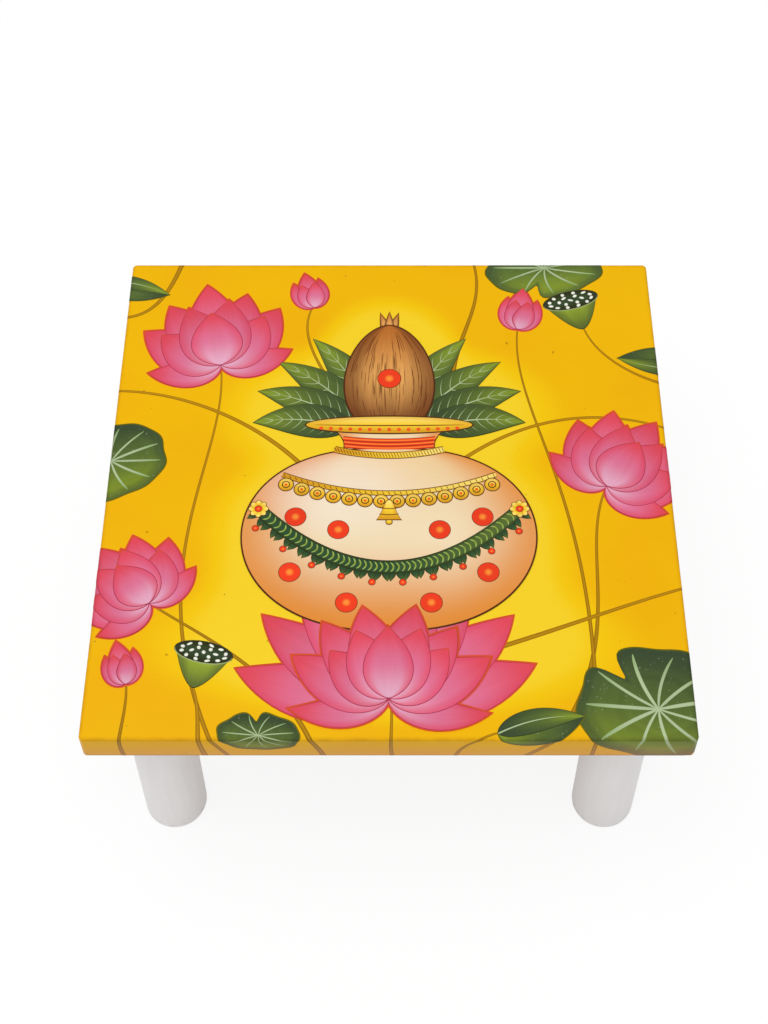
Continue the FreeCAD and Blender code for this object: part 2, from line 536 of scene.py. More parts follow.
@dataclass(frozen=True)
class Ground:
    """The board's finish: golden ground with a glow behind the figure, raw fibreboard below.

    Spans are what a smooth step runs over, and scales are clouds of noise to a metre.
    """

    edge: BoardEdge
    glow: tuple[Oval, ...]
    surface: Surface = Surface()
    cloud_scale: float = 13.0
    cloud_span: Point = (0.35, 0.75)  # from golden to its deeper tone
    glow_span: Point = (0.0, 0.6)
    core_span: Point = (0.5, 1.0)
    speck_scale: float = 260.0
    speck_span: Point = (0.775, 0.8)
    speck_share: float = 0.45
    # How strongly a painted reflection pales the ground down the board's edges
    edge_reflection: float = 0.32
    ragged_scale: float = 160.0
    ragged_width: float = 0.010  # metres, how unevenly the overspray ends
    overspray_span: Point = (0.007, 0.018)  # metres in from the underside's rim
    raw_span: Point = (0.003, 0.002)  # metres below the face
    strand_scales: Place = (900.0, 2600.0, 1600.0)
    cross_scales: Place = (2400.0, 700.0, 1600.0)
    strand_detail: float = 4.0
    strand_roughness: float = 0.7
    strand_span: Point = (0.35, 0.65)

    def build(self) -> Material:
        """Makes the material.

        Returns:
            The material.
        """
        graph = Shading("board_lacquer")
        colour = self.painted(graph)
        raw = self.raw_mask(graph)
        self.surface.coat(graph, graph.blend(raw, colour, self.fibreboard(graph)))
        return graph.material

    def painted(self, graph: Graph) -> Socket:
        """The golden paint, lighter behind the figure, paled down the edges by a painted reflection
        and darkened along their rims by painted shade.

        Args:
            graph: The material's graph.

        Returns:
            The colour.
        """
        place = graph.place()
        cloud = graph.noise(place, self.cloud_scale, detail=3.0)
        deeper = graph.step(cloud, *self.cloud_span)
        golden = graph.blend(deeper, Pigment.GOLDEN, Pigment.GOLDEN_DEEP)
        glow = self.glow_mask(graph)
        inner = graph.step(glow, *self.core_span)
        golden = graph.blend(graph.step(glow, *self.glow_span), golden, Pigment.GLOW)
        golden = graph.blend(inner, golden, Pigment.GLOW_CORE)
        speck = graph.step(graph.noise(place, self.speck_scale, detail=1.0), *self.speck_span)
        golden = graph.blend(graph.times(speck, self.speck_share), golden, Pigment.SPECK)
        # Painted reflection and painted shade on the board's edges
        return self.edge.with_painted_edge_light(graph, golden, self.edge_reflection)

    def glow_mask(self, graph: Graph) -> Socket:
        """The glow's ovals laid over one another: one less the product of their gaps.

        Args:
            graph: The material's graph.

        Returns:
            1 inside any of them, and less outside.
        """
        gap = 1.0
        for oval in self.glow:
            gap = graph.times(gap, graph.less(1.0, oval.mask(graph, self.edge.top)))
        return graph.less(1.0, gap)

    def raw_mask(self, graph: Graph) -> Socket:
        """Where the fibreboard is bare: the underside and its pockets, to a ragged overspray.

        Args:
            graph: The material's graph.

        Returns:
            1 where it is bare, and 0 elsewhere.
        """
        place = graph.place()
        x, y, z = graph.split(place)
        inset = graph.less(self.edge.half, graph.reach(x, y))
        uneven = graph.noise(place, self.ragged_scale, detail=4.0)
        ragged = graph.calc("MULTIPLY_ADD", uneven, self.ragged_width, inset)
        inward = graph.step(ragged, *self.overspray_span)
        start, end = (self.edge.top - depth for depth in self.raw_span)
        return graph.times(inward, graph.step(z, start, end, 1.0, 0.0))

    def fibreboard(self, graph: Graph) -> Socket:
        """Pressed wood fibre: short matted strands in two browns.

        Args:
            graph: The material's graph.

        Returns:
            The colour.
        """
        place = graph.place()
        strand, cross = (
            graph.noise(place, scales, self.strand_detail, self.strand_roughness)
            for scales in (self.strand_scales, self.cross_scales)
        )
        share = graph.step(graph.times(graph.calc("ADD", strand, cross), 0.5), *self.strand_span)
        return graph.blend(share, Pigment.FIBRE_DARK, Pigment.FIBREBOARD)


@dataclass(frozen=True)
class LegPaint:
    """Satin white paint on a turned leg, with faint grain and light scuffs at its foot."""

    bottom: float  # height of the leg's lower rim, in metres
    surface: Surface = Surface(roughness=0.42, specular=0.35, bump=0.12, unevenness=0.015)
    grain_scales: Place = (300.0, 300.0, 24.0)
    grain_span: Point = (0.3, 0.8)
    scuff_height: float = 0.012  # metres up from the rim
    scuff_scales: Place = (300.0, 300.0, 900.0)
    scuff_span: Point = (0.56, 0.66)
    scuff_share: float = 0.5

    def build(self) -> Material:
        """Makes the material.

        Returns:
            The material.
        """
        graph = Shading("leg_paint")
        place = graph.place()
        _, _, z = graph.split(place)
        grain = graph.step(graph.noise(place, self.grain_scales, detail=3.0), *self.grain_span)
        white = graph.blend(grain, Pigment.WHITE, Pigment.OFF_WHITE)
        foot = graph.step(z, self.bottom, self.bottom + self.scuff_height, 1.0, 0.0)
        marks = graph.step(graph.noise(place, self.scuff_scales, detail=4.0), *self.scuff_span)
        scuffs = graph.times(graph.times(foot, marks), self.scuff_share)
        self.surface.coat(graph, graph.blend(scuffs, white, Pigment.SCUFF))
        return graph.material


@dataclass(frozen=True)
class MetalFinish:
    """A plated or machined metal: two tones in soft clouds and fine turning rings."""

    name: str
    light: Pigment
    dark: Pigment
    roughness: float
    ring_pitch: float  # metres from one tool mark to the next
    surface: Surface = Surface(bump=0.3, bump_depth=0.00002)
    cloud_scale: float = 240.0
    cloud_span: Point = (0.3, 0.7)
    gloss_spread: float = 0.2  # how much the roughness varies

    def build(self) -> Material:
        """Makes the material.

        Returns:
            The material.
        """
        graph = Shading(self.name)
        place = graph.place()
        cloud = graph.noise(place, self.cloud_scale, detail=3.0)
        colour = graph.blend(graph.step(cloud, *self.cloud_span), self.light, self.dark)
        _, _, z = graph.split(place)
        turns = graph.times(z, 2 * math.pi / self.ring_pitch)
        rings = graph.calc("SINE", graph.calc("ADD", turns, cloud))
        uneven = graph.less(cloud, 0.5)
        rough = graph.calc("MULTIPLY_ADD", uneven, self.gloss_spread, self.roughness)
        graph.feed(graph.shader, {"Base Color": colour, "Roughness": rough, "Metallic": 1.0})
        self.surface.roughen(graph, rings)
        return graph.material


@dataclass(frozen=True)
class FeltFinish:
    """Pressed felt: matted fibres in two greys, rough and slightly fuzzy."""

    surface: Surface = Surface(roughness=0.95, specular=0.15, bump=0.8, bump_depth=0.0002)
    fibre_scales: tuple[Place, ...] = ((700.0, 2800.0, 2000.0), (2600.0, 800.0, 2000.0))
    fibre_detail: float = 4.0
    fibre_roughness: float = 0.7
    fibre_span: Point = (0.4, 0.75)
    sheen: float = 0.35
    sheen_roughness: float = 0.6

    def build(self) -> Material:
        """Makes the material.

        Returns:
            The material.
        """
        graph = Shading("pad_felt")
        place = graph.place()
        strands = (
            graph.noise(place, scales, self.fibre_detail, self.fibre_roughness)
            for scales in self.fibre_scales
        )
        fibres = graph.calc("MAXIMUM", *strands)
        share = graph.step(fibres, *self.fibre_span)
        values = {
            "Base Color": graph.blend(share, Pigment.FELT_DARK, Pigment.FELT),
            "Roughness": self.surface.roughness,
            "Specular IOR Level": self.surface.specular,
            "Sheen Weight": self.sheen,
            "Sheen Roughness": self.sheen_roughness,
        }
        graph.feed(graph.shader, values)
        self.surface.roughen(graph, fibres)
        return graph.material


@dataclass(frozen=True)
class PaintFinish:
    """One coat of the painted design: airbrushed from root to tip, with an edge shade."""

    # The fields that the airbrush takes, as inputs of the same names
    BRUSHED = (
        "root", "middle", "tip", "edge", "edge_from", "edge_to", "edge_amount",
        "streaks", "streak_count", "spread",
    )
    root: Pigment
    middle: Pigment
    tip: Pigment
    edge: Pigment
    edge_from: float = 0.55
    edge_to: float = 1.0
    edge_amount: float = 0.5
    streaks: float = 0.16
    streak_count: float = 7.0
    spread: float = 0.14
    flecks: float = 0.0  # how strongly tiny pale flecks show
    shine: Oval | None = None  # a soft highlight on a round form
    surface: Surface = Surface()
    fleck_scale: float = 950.0
    fleck_span: Point = (0.7, 0.8)
    shine_share: float = 0.3
    # How strongly a painted reflection pales this coat down the board's edges
    edge_reflection: float = 0.3

    def build(self, name: str, edge: BoardEdge) -> Material:
        """Makes the material.

        Args:
            name: Its name.
            edge: The board's edges.

        Returns:
            The material.
        """
        graph = Shading(name)
        form = graph.add("ShaderNodeAttribute", attribute_name=Relief.FORM).outputs["Vector"]
        values = dict(zip(("Across", "Along", "Tint"), graph.split(form)))
        for field in self.BRUSHED:
            values[field.replace("_", " ").title()] = getattr(self, field)
        colour = graph.group(Effects.airbrush(), values)["Colour"]
        if self.flecks:
            grain = graph.noise(graph.place(), self.fleck_scale, detail=1.0)
            fleck = graph.times(graph.step(grain, *self.fleck_span), self.flecks)
            colour = graph.blend(fleck, colour, Pigment.SEED)
        if self.shine:
            share = graph.times(self.shine.mask(graph, edge.top), self.shine_share)
            colour = graph.blend(share, colour, Pigment.WHITE)
        # Painted reflection and painted shade where the coat runs over the board's edges
        self.surface.coat(graph, edge.with_painted_edge_light(graph, colour, self.edge_reflection))
        return graph.material


@dataclass(frozen=True)
class Body:
    """A mesh as whole arrays: points, a form value for each, face corners and face sizes."""

    points: np.ndarray
    forms: np.ndarray
    corners: np.ndarray
    sizes: np.ndarray

    @staticmethod
    def merged(bodies: list["Body"]) -> "Body":
        """All bodies as one, each one's corners shifted by the points before it.

        Args:
            bodies: The bodies.

        Returns:
            The joined body.
        """
        starts = itertools.accumulate((len(body.points) for body in bodies), initial=0)
        moved = [
            (body.points, body.forms, body.corners + start, body.sizes)
            for body, start in zip(bodies, starts)
        ]
        return Body(*(np.concatenate(arrays) for arrays in zip(*moved)))

    def to_mesh(self, name: str) -> bpy.types.Mesh:
        """A Blender mesh with these faces and the form attribute.

        Args:
            name: Its name.

        Returns:
            The mesh.
        """
        mesh = bpy.data.meshes.new(name)
        mesh.vertices.add(len(self.points))
        mesh.vertices.foreach_set("co", self.points.astype(np.float32).ravel())
        mesh.loops.add(len(self.corners))
        mesh.loops.foreach_set("vertex_index", self.corners.astype(np.int32))
        mesh.polygons.add(len(self.sizes))
        starts = np.concatenate([[0], np.cumsum(self.sizes)[:-1]])
        mesh.polygons.foreach_set("loop_start", starts.astype(np.int32))
        mesh.update(calc_edges=True)
        form = mesh.attributes.new(Relief.FORM, "FLOAT_VECTOR", "POINT")
        form.data.foreach_set("vector", self.forms.astype(np.float32).ravel())
        return mesh

    @staticmethod
    def from_mesh(mesh: bpy.types.Mesh) -> "Body":
        """The arrays of a Blender mesh that carries the form attribute.

        Args:
            mesh: The mesh.

        Returns:
            The body.
        """
        points = np.empty(3 * len(mesh.vertices), np.float32)
        mesh.vertices.foreach_get("co", points)
        forms = np.empty(3 * len(mesh.vertices), np.float32)
        mesh.attributes[Relief.FORM].data.foreach_get("vector", forms)
        corners = np.empty(len(mesh.loops), np.int32)
        mesh.loops.foreach_get("vertex_index", corners)
        sizes = np.empty(len(mesh.polygons), np.int32)
        mesh.polygons.foreach_get("loop_total", sizes)
        return Body(points.reshape(-1, 3), forms.reshape(-1, 3), corners, sizes)


@dataclass(frozen=True)
class Skin:
    """The board's face and edges as one flat sheet, in mm, which the design is drawn on.

    A point is (x, y, height over the paint's ground). Inside the face it stays as it is. Past
    the face's rim it is carried round the rounded arris, down the edge and round the lower
    arris, so the drawing runs on over the board's edges.
    """

    half: float
    top: float
    thickness: float
    corner_radius: float = 2.5
    edge_radius: float = 1.0
    directions: int = 32  # straight cuts that trim the sheet's outline
    arris_steps: int = 6  # creases in a quarter turn
    corner_mesh: float = 0.45  # the longest edge where the sheet turns a corner
    corner_rounds: int = 6  # how often its edges are halved at most
    lower_crease_share: float = 0.25  # where the lower arris is creased, of its quarter turn
    reach_share: float = 0.5  # how far round the lower arris the sheet goes

    @property
    def core(self) -> float:
        """From the board's middle to the centres of its corner roundings."""
        return self.half - self.corner_radius

    @property
    def flat_radius(self) -> float:
        """The corner radius of the face's flat part."""
        return self.corner_radius - self.edge_radius

    @property
    def quarter(self) -> float:
        """The length of the quarter turn round an arris."""
        return self.edge_radius * math.pi / 2

    @property
    def wall(self) -> float:
        """The upright part of an edge."""
        return self.thickness - 2 * self.edge_radius

    @property
    def reach(self) -> float:
        """How far past the face's rim the sheet goes, partly round the lower arris."""
        return (1 + self.reach_share) * self.quarter + self.wall

    def folded(self, points: np.ndarray) -> np.ndarray:
        """Carries points of the flat sheet onto the board.

        The run is how far a point is past the face's rim. Its first quarter turns the way
        out into the way down, the wall takes the rest, and the last quarter turns inwards.
        The height is added along the surface's normal, which turns with the run.

        Args:
            points: Rows of (x, y, height) in mm.

        Returns:
            Rows of (x, y, z) in metres.
        """
        flat = points[:, :2]
        beyond = np.maximum(np.abs(flat) - self.core, 0.0)
        reach = np.linalg.norm(beyond, axis=1)
        outward = np.sign(flat) * beyond / np.maximum(reach, 1e-9)[:, None]
        run = np.maximum(reach - self.flat_radius, 0.0)
        down = np.clip(run - self.quarter, 0.0, self.wall)
        upper = np.clip(run / self.edge_radius, 0.0, math.pi / 2)
        lower = np.clip((run - self.quarter - self.wall) / self.edge_radius, 0.0, math.pi / 2)
        tilt = upper + lower
        height = points[:, 2]
        out = self.edge_radius * (np.sin(upper) - 1 + np.cos(lower)) + height * np.sin(tilt)
        drop = self.edge_radius * (1 - np.cos(upper) + np.sin(lower)) + down
        across = flat + outward * (out - run)[:, None]
        z = self.top - drop + height * np.cos(tilt)
        return np.column_stack([across, z]) * MM

    def crosses(self, grid: np.ndarray) -> bool:
        """Whether any point of a grid lies past the face's rim."""
        return bool((np.abs(grid) > self.core).any())

    def trimmed(self, body: Body) -> Body:
        """Cuts a flat body at the sheet's outline and creases it at the folds.

        Args:
            body: A body whose points are (x, y, height) in mm.

        Returns:
            The part inside the sheet, closed again, with edges along every fold.
        """
        mesh = body.to_mesh("trimming")
        work = bmesh.new()
        work.from_mesh(mesh)
        for turn in np.linspace(0.0, 2 * math.pi, self.directions, endpoint=False):
            normal = Vector((math.cos(turn), math.sin(turn), 0.0))
            span = self.core * (abs(normal.x) + abs(normal.y)) + self.flat_radius + self.reach
            self.cut(work, normal, span, True)
        creases = [self.quarter * step / self.arris_steps for step in range(self.arris_steps + 1)]
        creases += [
            self.quarter * (1 + share) + self.wall for share in (0.0, self.lower_crease_share)
        ]
        for x, y in ((1, 0), (0, 1), (-1, 0), (0, -1)):
            normal = Vector((x, y, 0))
            for crease in creases:
                self.cut(work, normal, self.core + self.flat_radius + crease, False)
            self.cut(work, normal, self.core, False)
        self.refine_corners(work)
        bmesh.ops.recalc_face_normals(work, faces=work.faces)
        work.to_mesh(mesh)
        work.free()
        result = Body.from_mesh(mesh)
        bpy.data.meshes.remove(mesh)
        return result

    def refine_corners(self, work: bmesh.types.BMesh) -> None:
        """Splits what lies where the sheet turns a corner into triangles with short edges.

        Args:
            work: The mesh that is being trimmed.
        """
        for _ in range(self.corner_rounds):
            turning = [
                face
                for face in work.faces
                if all(min(abs(vert.co.x), abs(vert.co.y)) > self.core - MM for vert in face.verts)
            ]
            triangles = bmesh.ops.triangulate(work, faces=turning)["faces"]
            edges = {edge for face in triangles for edge in face.edges}
            long_edges = [edge for edge in edges if edge.calc_length() > self.corner_mesh]
            if long_edges:
                bmesh.ops.subdivide_edges(work, edges=long_edges, cuts=1)

    @staticmethod
    def cut(work: bmesh.types.BMesh, normal: Vector, span: float, clear: bool) -> None:
        """Cuts along one upright plane, and closes the cut if what lies outside goes.

        Args:
            work: The mesh that is being trimmed.
            normal: The plane's outward normal.
            span: How far out the plane stands, in mm.
            clear: Whether what lies outside goes.
        """
        everything = [*work.verts, *work.edges, *work.faces]
        bmesh.ops.bisect_plane(
            work, geom=everything, plane_co=normal * span, plane_no=normal, clear_outer=clear
        )
        if clear:
            open_edges = [edge for edge in work.edges if edge.is_boundary]
            bmesh.ops.holes_fill(work, edges=open_edges, sides=0)


POINTED_FALL = 0.6  # a profile that falls faster than this ends in a point
POINTED_GROWTH = 1.9  # how much further than its sides such a tip grows


class Profile(Enum):
    """How a blade's width goes from its root to its tip: (rise, fall, waist) shares.

    The width is u to the power rise times (1 - u) to the power fall, over that product's
    greatest value, and less the share waist at the middle.
    """

    PETAL = (0.66, 0.95, 0.0)
    SLENDER = (0.62, 1.0, 0.0)
    OVAL = (0.5, 0.5, 0.0)
    BELLY = (0.42, 0.4, 0.0)
    EGG = (0.42, 0.56, 0.0)
    CONE = (0.62, 0.0, 0.0)
    COLLAR = (0.0, 0.0, 0.26)
    BELL = (0.0, 0.55, 0.22)
    DROP = (0.5, 1.1, 0.0)
    VEIN = (0.0, 0.6, 0.0)

    @property
    def tip_growth(self) -> float:
        """How much further a pointed tip moves out than the sides do when a blade is grown."""
        _, fall, _ = self.value
        return POINTED_GROWTH if fall > POINTED_FALL else 1.0

    def width(self, along: np.ndarray) -> np.ndarray:
        """The width at places along a blade, as shares of its greatest width.

        Args:
            along: Places from 0 at the root to 1 at the tip.

        Returns:
            The widths, in the same shape.
        """
        rise, fall, waist = self.value
        peak = rise / (rise + fall) if rise + fall else 0.5
        greatest = peak**rise * (1 - peak) ** fall
        return along**rise * (1 - along) ** fall / greatest * (1 - waist * np.sin(math.pi * along))


LEAST_WIDTH = 0.03  # mm, half the width that a tip keeps


def bezier(controls: Points, along: np.ndarray) -> np.ndarray:
    """Points of a Bezier curve: each control point times its Bernstein polynomial.

    Args:
        controls: The control points.
        along: Places from 0 to 1.

    Returns:
        One row for each place.
    """
    places = np.asarray(controls, float)
    degree = len(places) - 1
    order = np.arange(degree + 1)
    choose = np.array([math.comb(degree, k) for k in order])
    weights = choose * along[:, None] ** order * (1 - along[:, None]) ** (degree - order)
    return weights @ places


def rotation(degrees: float) -> np.ndarray:
    """The matrix that turns (x, y) anticlockwise."""
    turn = math.radians(degrees)
    return np.array([[math.cos(turn), -math.sin(turn)], [math.sin(turn), math.cos(turn)]])


def heading(degrees: float) -> np.ndarray:
    """The direction that points up the board, turned clockwise by an angle."""
    return rotation(-degrees)[:, 1]


@dataclass(frozen=True)
class Sheet:
    """The face of a flat form: a grid of points in mm and the form values at each."""

    grid: np.ndarray  # (x, y), rows by columns
    forms: np.ndarray  # (across, along), rows by columns
    ring: bool = False  # whether the columns close round, with the rows from the rim inwards

    @staticmethod
    def ribbon(spine: np.ndarray, halves: np.ndarray, along: np.ndarray, columns: int) -> "Sheet":
        """A ribbon across a spine: each spine point plus v times its half width to the right.

        Args:
            spine: Rows of (x, y).
            halves: The half width at each row.
            along: The form value along the spine at each row.
            columns: Points across it, from v = -1 on the left to v = 1 on the right.

        Returns:
            The ribbon's sheet, rows along the spine.
        """
        tangent = np.gradient(spine, axis=0)
        tangent /= np.linalg.norm(tangent, axis=1)[:, None]
        right = np.column_stack([tangent[:, 1], -tangent[:, 0]])
        across = np.linspace(-1.0, 1.0, columns)
        steps = np.maximum(halves, LEAST_WIDTH)[:, None] * across
        grid = spine[:, None, :] + right[:, None, :] * steps[:, :, None]
        marks = np.broadcast_arrays(across[None, :], along[:, None])
        return Sheet(grid, np.stack(marks, axis=-1))


@dataclass(frozen=True)
class Blade:
    """A form such as a petal: a bent spine with a profile's width across it, in mm."""

    root: Points
    tip: Points
    half_width: float
    profile: Profile
    bend_share: float = 0.0  # how far its spine's middle goes to the right, against its length
    rows: int = 25
    columns: int = 7

    @property
    def right(self) -> np.ndarray:
        """The direction to the right of the way from root to tip, as long as that way."""
        ahead = np.subtract(self.tip, self.root)
        return np.array([ahead[1], -ahead[0]])

    @property
    def controls(self) -> np.ndarray:
        """The spine's three control points."""
        middle = np.add(self.root, self.tip) / 2 + self.right * self.bend_share
        return np.array([self.root, middle, self.tip])

    def sheet(self, grow: float = 0.0) -> Sheet:
        """The blade's face.

        Args:
            grow: How much larger it is all round, for an outline under it.

        Returns:
            The sheet.
        """
        start, middle, end = self.controls
        first = (middle - start) / np.linalg.norm(middle - start)
        last = (end - middle) / np.linalg.norm(end - middle)
        ends = [start - first * grow, middle, end + last * grow * self.profile.tip_growth]
        along = (1 - np.cos(np.linspace(0, math.pi, self.rows))) / 2
        halves = (self.half_width + grow) * self.profile.width(along)
        return Sheet.ribbon(bezier(ends, along), halves, along, self.columns)


@dataclass(frozen=True)
class Stroke:
    """A brush stroke along a Bezier curve, in mm.

    Its half width falls by taper_share at both ends, as the fourth power of the distance from
    its middle. It also grows along the way, by swell_share from its middle to its end.
    """

    controls: Points
    half_width: float
    taper_share: float = 0.0
    swell_share: float = 0.0
    rows: int = 40
    columns: int = 3

    def sheet(self, grow: float = 0.0) -> Sheet:
        """The stroke's face.

        Args:
            grow: How much wider it is on each side.

        Returns:
            The sheet.
        """
        along = np.linspace(0.0, 1.0, self.rows)
        from_middle = 2 * along - 1
        share = (1 - self.taper_share * from_middle**4) * (1 + self.swell_share * from_middle)
        halves = (self.half_width + grow) * share
        return Sheet.ribbon(bezier(self.controls, along), halves, along, self.columns)


@dataclass(frozen=True)
class Disc:
    """An oval or wavy disc in mm: rings of the rim's radius times an even share.

    Its across value is the share of the radius, and its along value goes up its face.
    """

    middle: Points
    radii: Points
    turn: float = 0.0  # degrees anticlockwise
    rings: int = 4
    spokes: int = 24
    rim: np.ndarray | None = None  # shares of the radius, one for each spoke of a wavy rim

    @staticmethod
    def round(middle: Points, radius: float, rings: int = 4, spokes: int = 24) -> "Disc":
        """A round disc."""
        return Disc(middle, (radius, radius), 0.0, rings, spokes)

    def sheet(self, grow: float = 0.0) -> Sheet:
        """The disc's face.

        Args:
            grow: How much larger it is all round.

        Returns:
            The sheet.
        """
        rim = np.ones(self.spokes) if self.rim is None else self.rim
        angle = np.linspace(0, 2 * math.pi, len(rim), endpoint=False)
        share = np.linspace(1.0, 0.0, self.rings + 1)[:-1, None]
        local = np.stack([share * rim * np.cos(angle), share * rim * np.sin(angle)], axis=-1)
        along = (local[..., 1] + 1) / 2
        sized = local * np.add(self.radii, grow)
        grid = sized @ rotation(self.turn).T + np.array(self.middle)
        forms = np.stack([np.broadcast_to(share, along.shape), along], axis=-1)
        return Sheet(grid, forms, ring=True)


Form = Blade | Stroke | Disc


class Relief:
    """Gathers flat plates of paint into one mesh.

    Each plate has an even face a few hundredths of a millimetre up, and stands on the board,
    so that a plate of a higher level covers those below it.
    """

    FORM = "form"
    LEVEL = 0.022  # mm from one level to the next
    SUNK = -0.03  # mm, the foot of every plate
    CREASE = math.radians(50)  # an edge sharper than this stays sharp
    SLOT = "board_lacquer"

    def __init__(self, skin: Skin, seed: int, name: str, paint: PaintFinish) -> None:
        """Starts an empty relief.

        Args:
            skin: The sheet that it is drawn on.
            seed: Seeds the plates' tints.
            name: The piece's name.
            paint: Its finish.
        """
        self.skin = skin
        self.name = name
        self.paint = paint
        self.inside: list[Body] = []
        self.crossing: list[Body] = []
        self.random = np.random.default_rng(seed)

    def add(self, sheet: Sheet, level: float) -> None:
        """Adds one closed plate.

        The sheet is its face. The same sheet at the foot is its underside, and a wall joins
        their outlines. A ring sheet gets a pole in its middle.

        Args:
            sheet: The plate's face.
            level: How high the face lies, in levels.
        """
        rows, columns = sheet.grid.shape[:2]
        flat = sheet.grid.reshape(-1, 2)
        marks = sheet.forms.reshape(-1, 2)
        index = np.arange(rows * columns).reshape(rows, columns)
        if sheet.ring:
            flat = np.vstack([flat, sheet.grid[-1].mean(axis=0)])
            marks = np.vstack([marks, sheet.forms[-1].mean(axis=0) * (0.0, 1.0)])
            index = np.hstack([index, index[:, :1]])
            rim = index[0]
        else:
            rim = np.concatenate([index[0], index[1:, -1], index[-1, -2::-1], index[-2::-1, 0]])
        count = len(flat)
        lid = np.stack([index[:-1, :-1], index[:-1, 1:], index[1:, 1:], index[1:, :-1]], axis=-1)
        lid = lid.reshape(-1, 4)
        wall = np.stack([rim[:-1] + count, rim[1:] + count, rim[1:], rim[:-1]], axis=-1)
        quads = np.vstack([lid, lid[:, ::-1] + count, wall])
        fan = np.empty((0, 3), int)
        if sheet.ring:
            last = index[-1]
            fan = np.stack([last[:-1], last[1:], np.full(columns, count - 1)], axis=-1)
            fan = np.vstack([fan, fan[:, ::-1] + count])
        tint = self.random.random()
        heights = np.repeat([level * self.LEVEL, self.SUNK], count)
        body = Body(
            np.column_stack([np.tile(flat, (2, 1)), heights]),
            np.column_stack([np.tile(marks, (2, 1)), np.full(2 * count, tint)]),
            np.concatenate([quads.ravel(), fan.ravel()]),
            np.repeat([4, 3], [len(quads), len(fan)]),
        )
        (self.crossing if self.skin.crosses(sheet.grid) else self.inside).append(body)

    def finish(self, edge: BoardEdge) -> None:
        """Trims and folds the plates onto the board and makes them one piece of the table.

        Args:
            edge: The board's edges.
        """
        material = self.paint.build(self.name, edge)
        bodies = list(self.inside)
        if self.crossing:
            bodies.append(self.skin.trimmed(Body.merged(self.crossing)))
        whole = Body.merged(bodies)
        folded = Body(self.skin.folded(whole.points), whole.forms, whole.corners, whole.sizes)
        mesh = folded.to_mesh(self.name)
        mesh.polygons.foreach_set("use_smooth", np.ones(len(mesh.polygons), bool))
        mesh.set_sharp_from_angle(angle=self.CREASE)
        mesh.materials.append(material)
        piece = bpy.data.objects.new(self.name, mesh)
        bpy.context.scene.collection.objects.link(piece)
        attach(piece, BODY)
        LOG.info("%s: %d faces", self.name, len(mesh.polygons))


P = Pigment


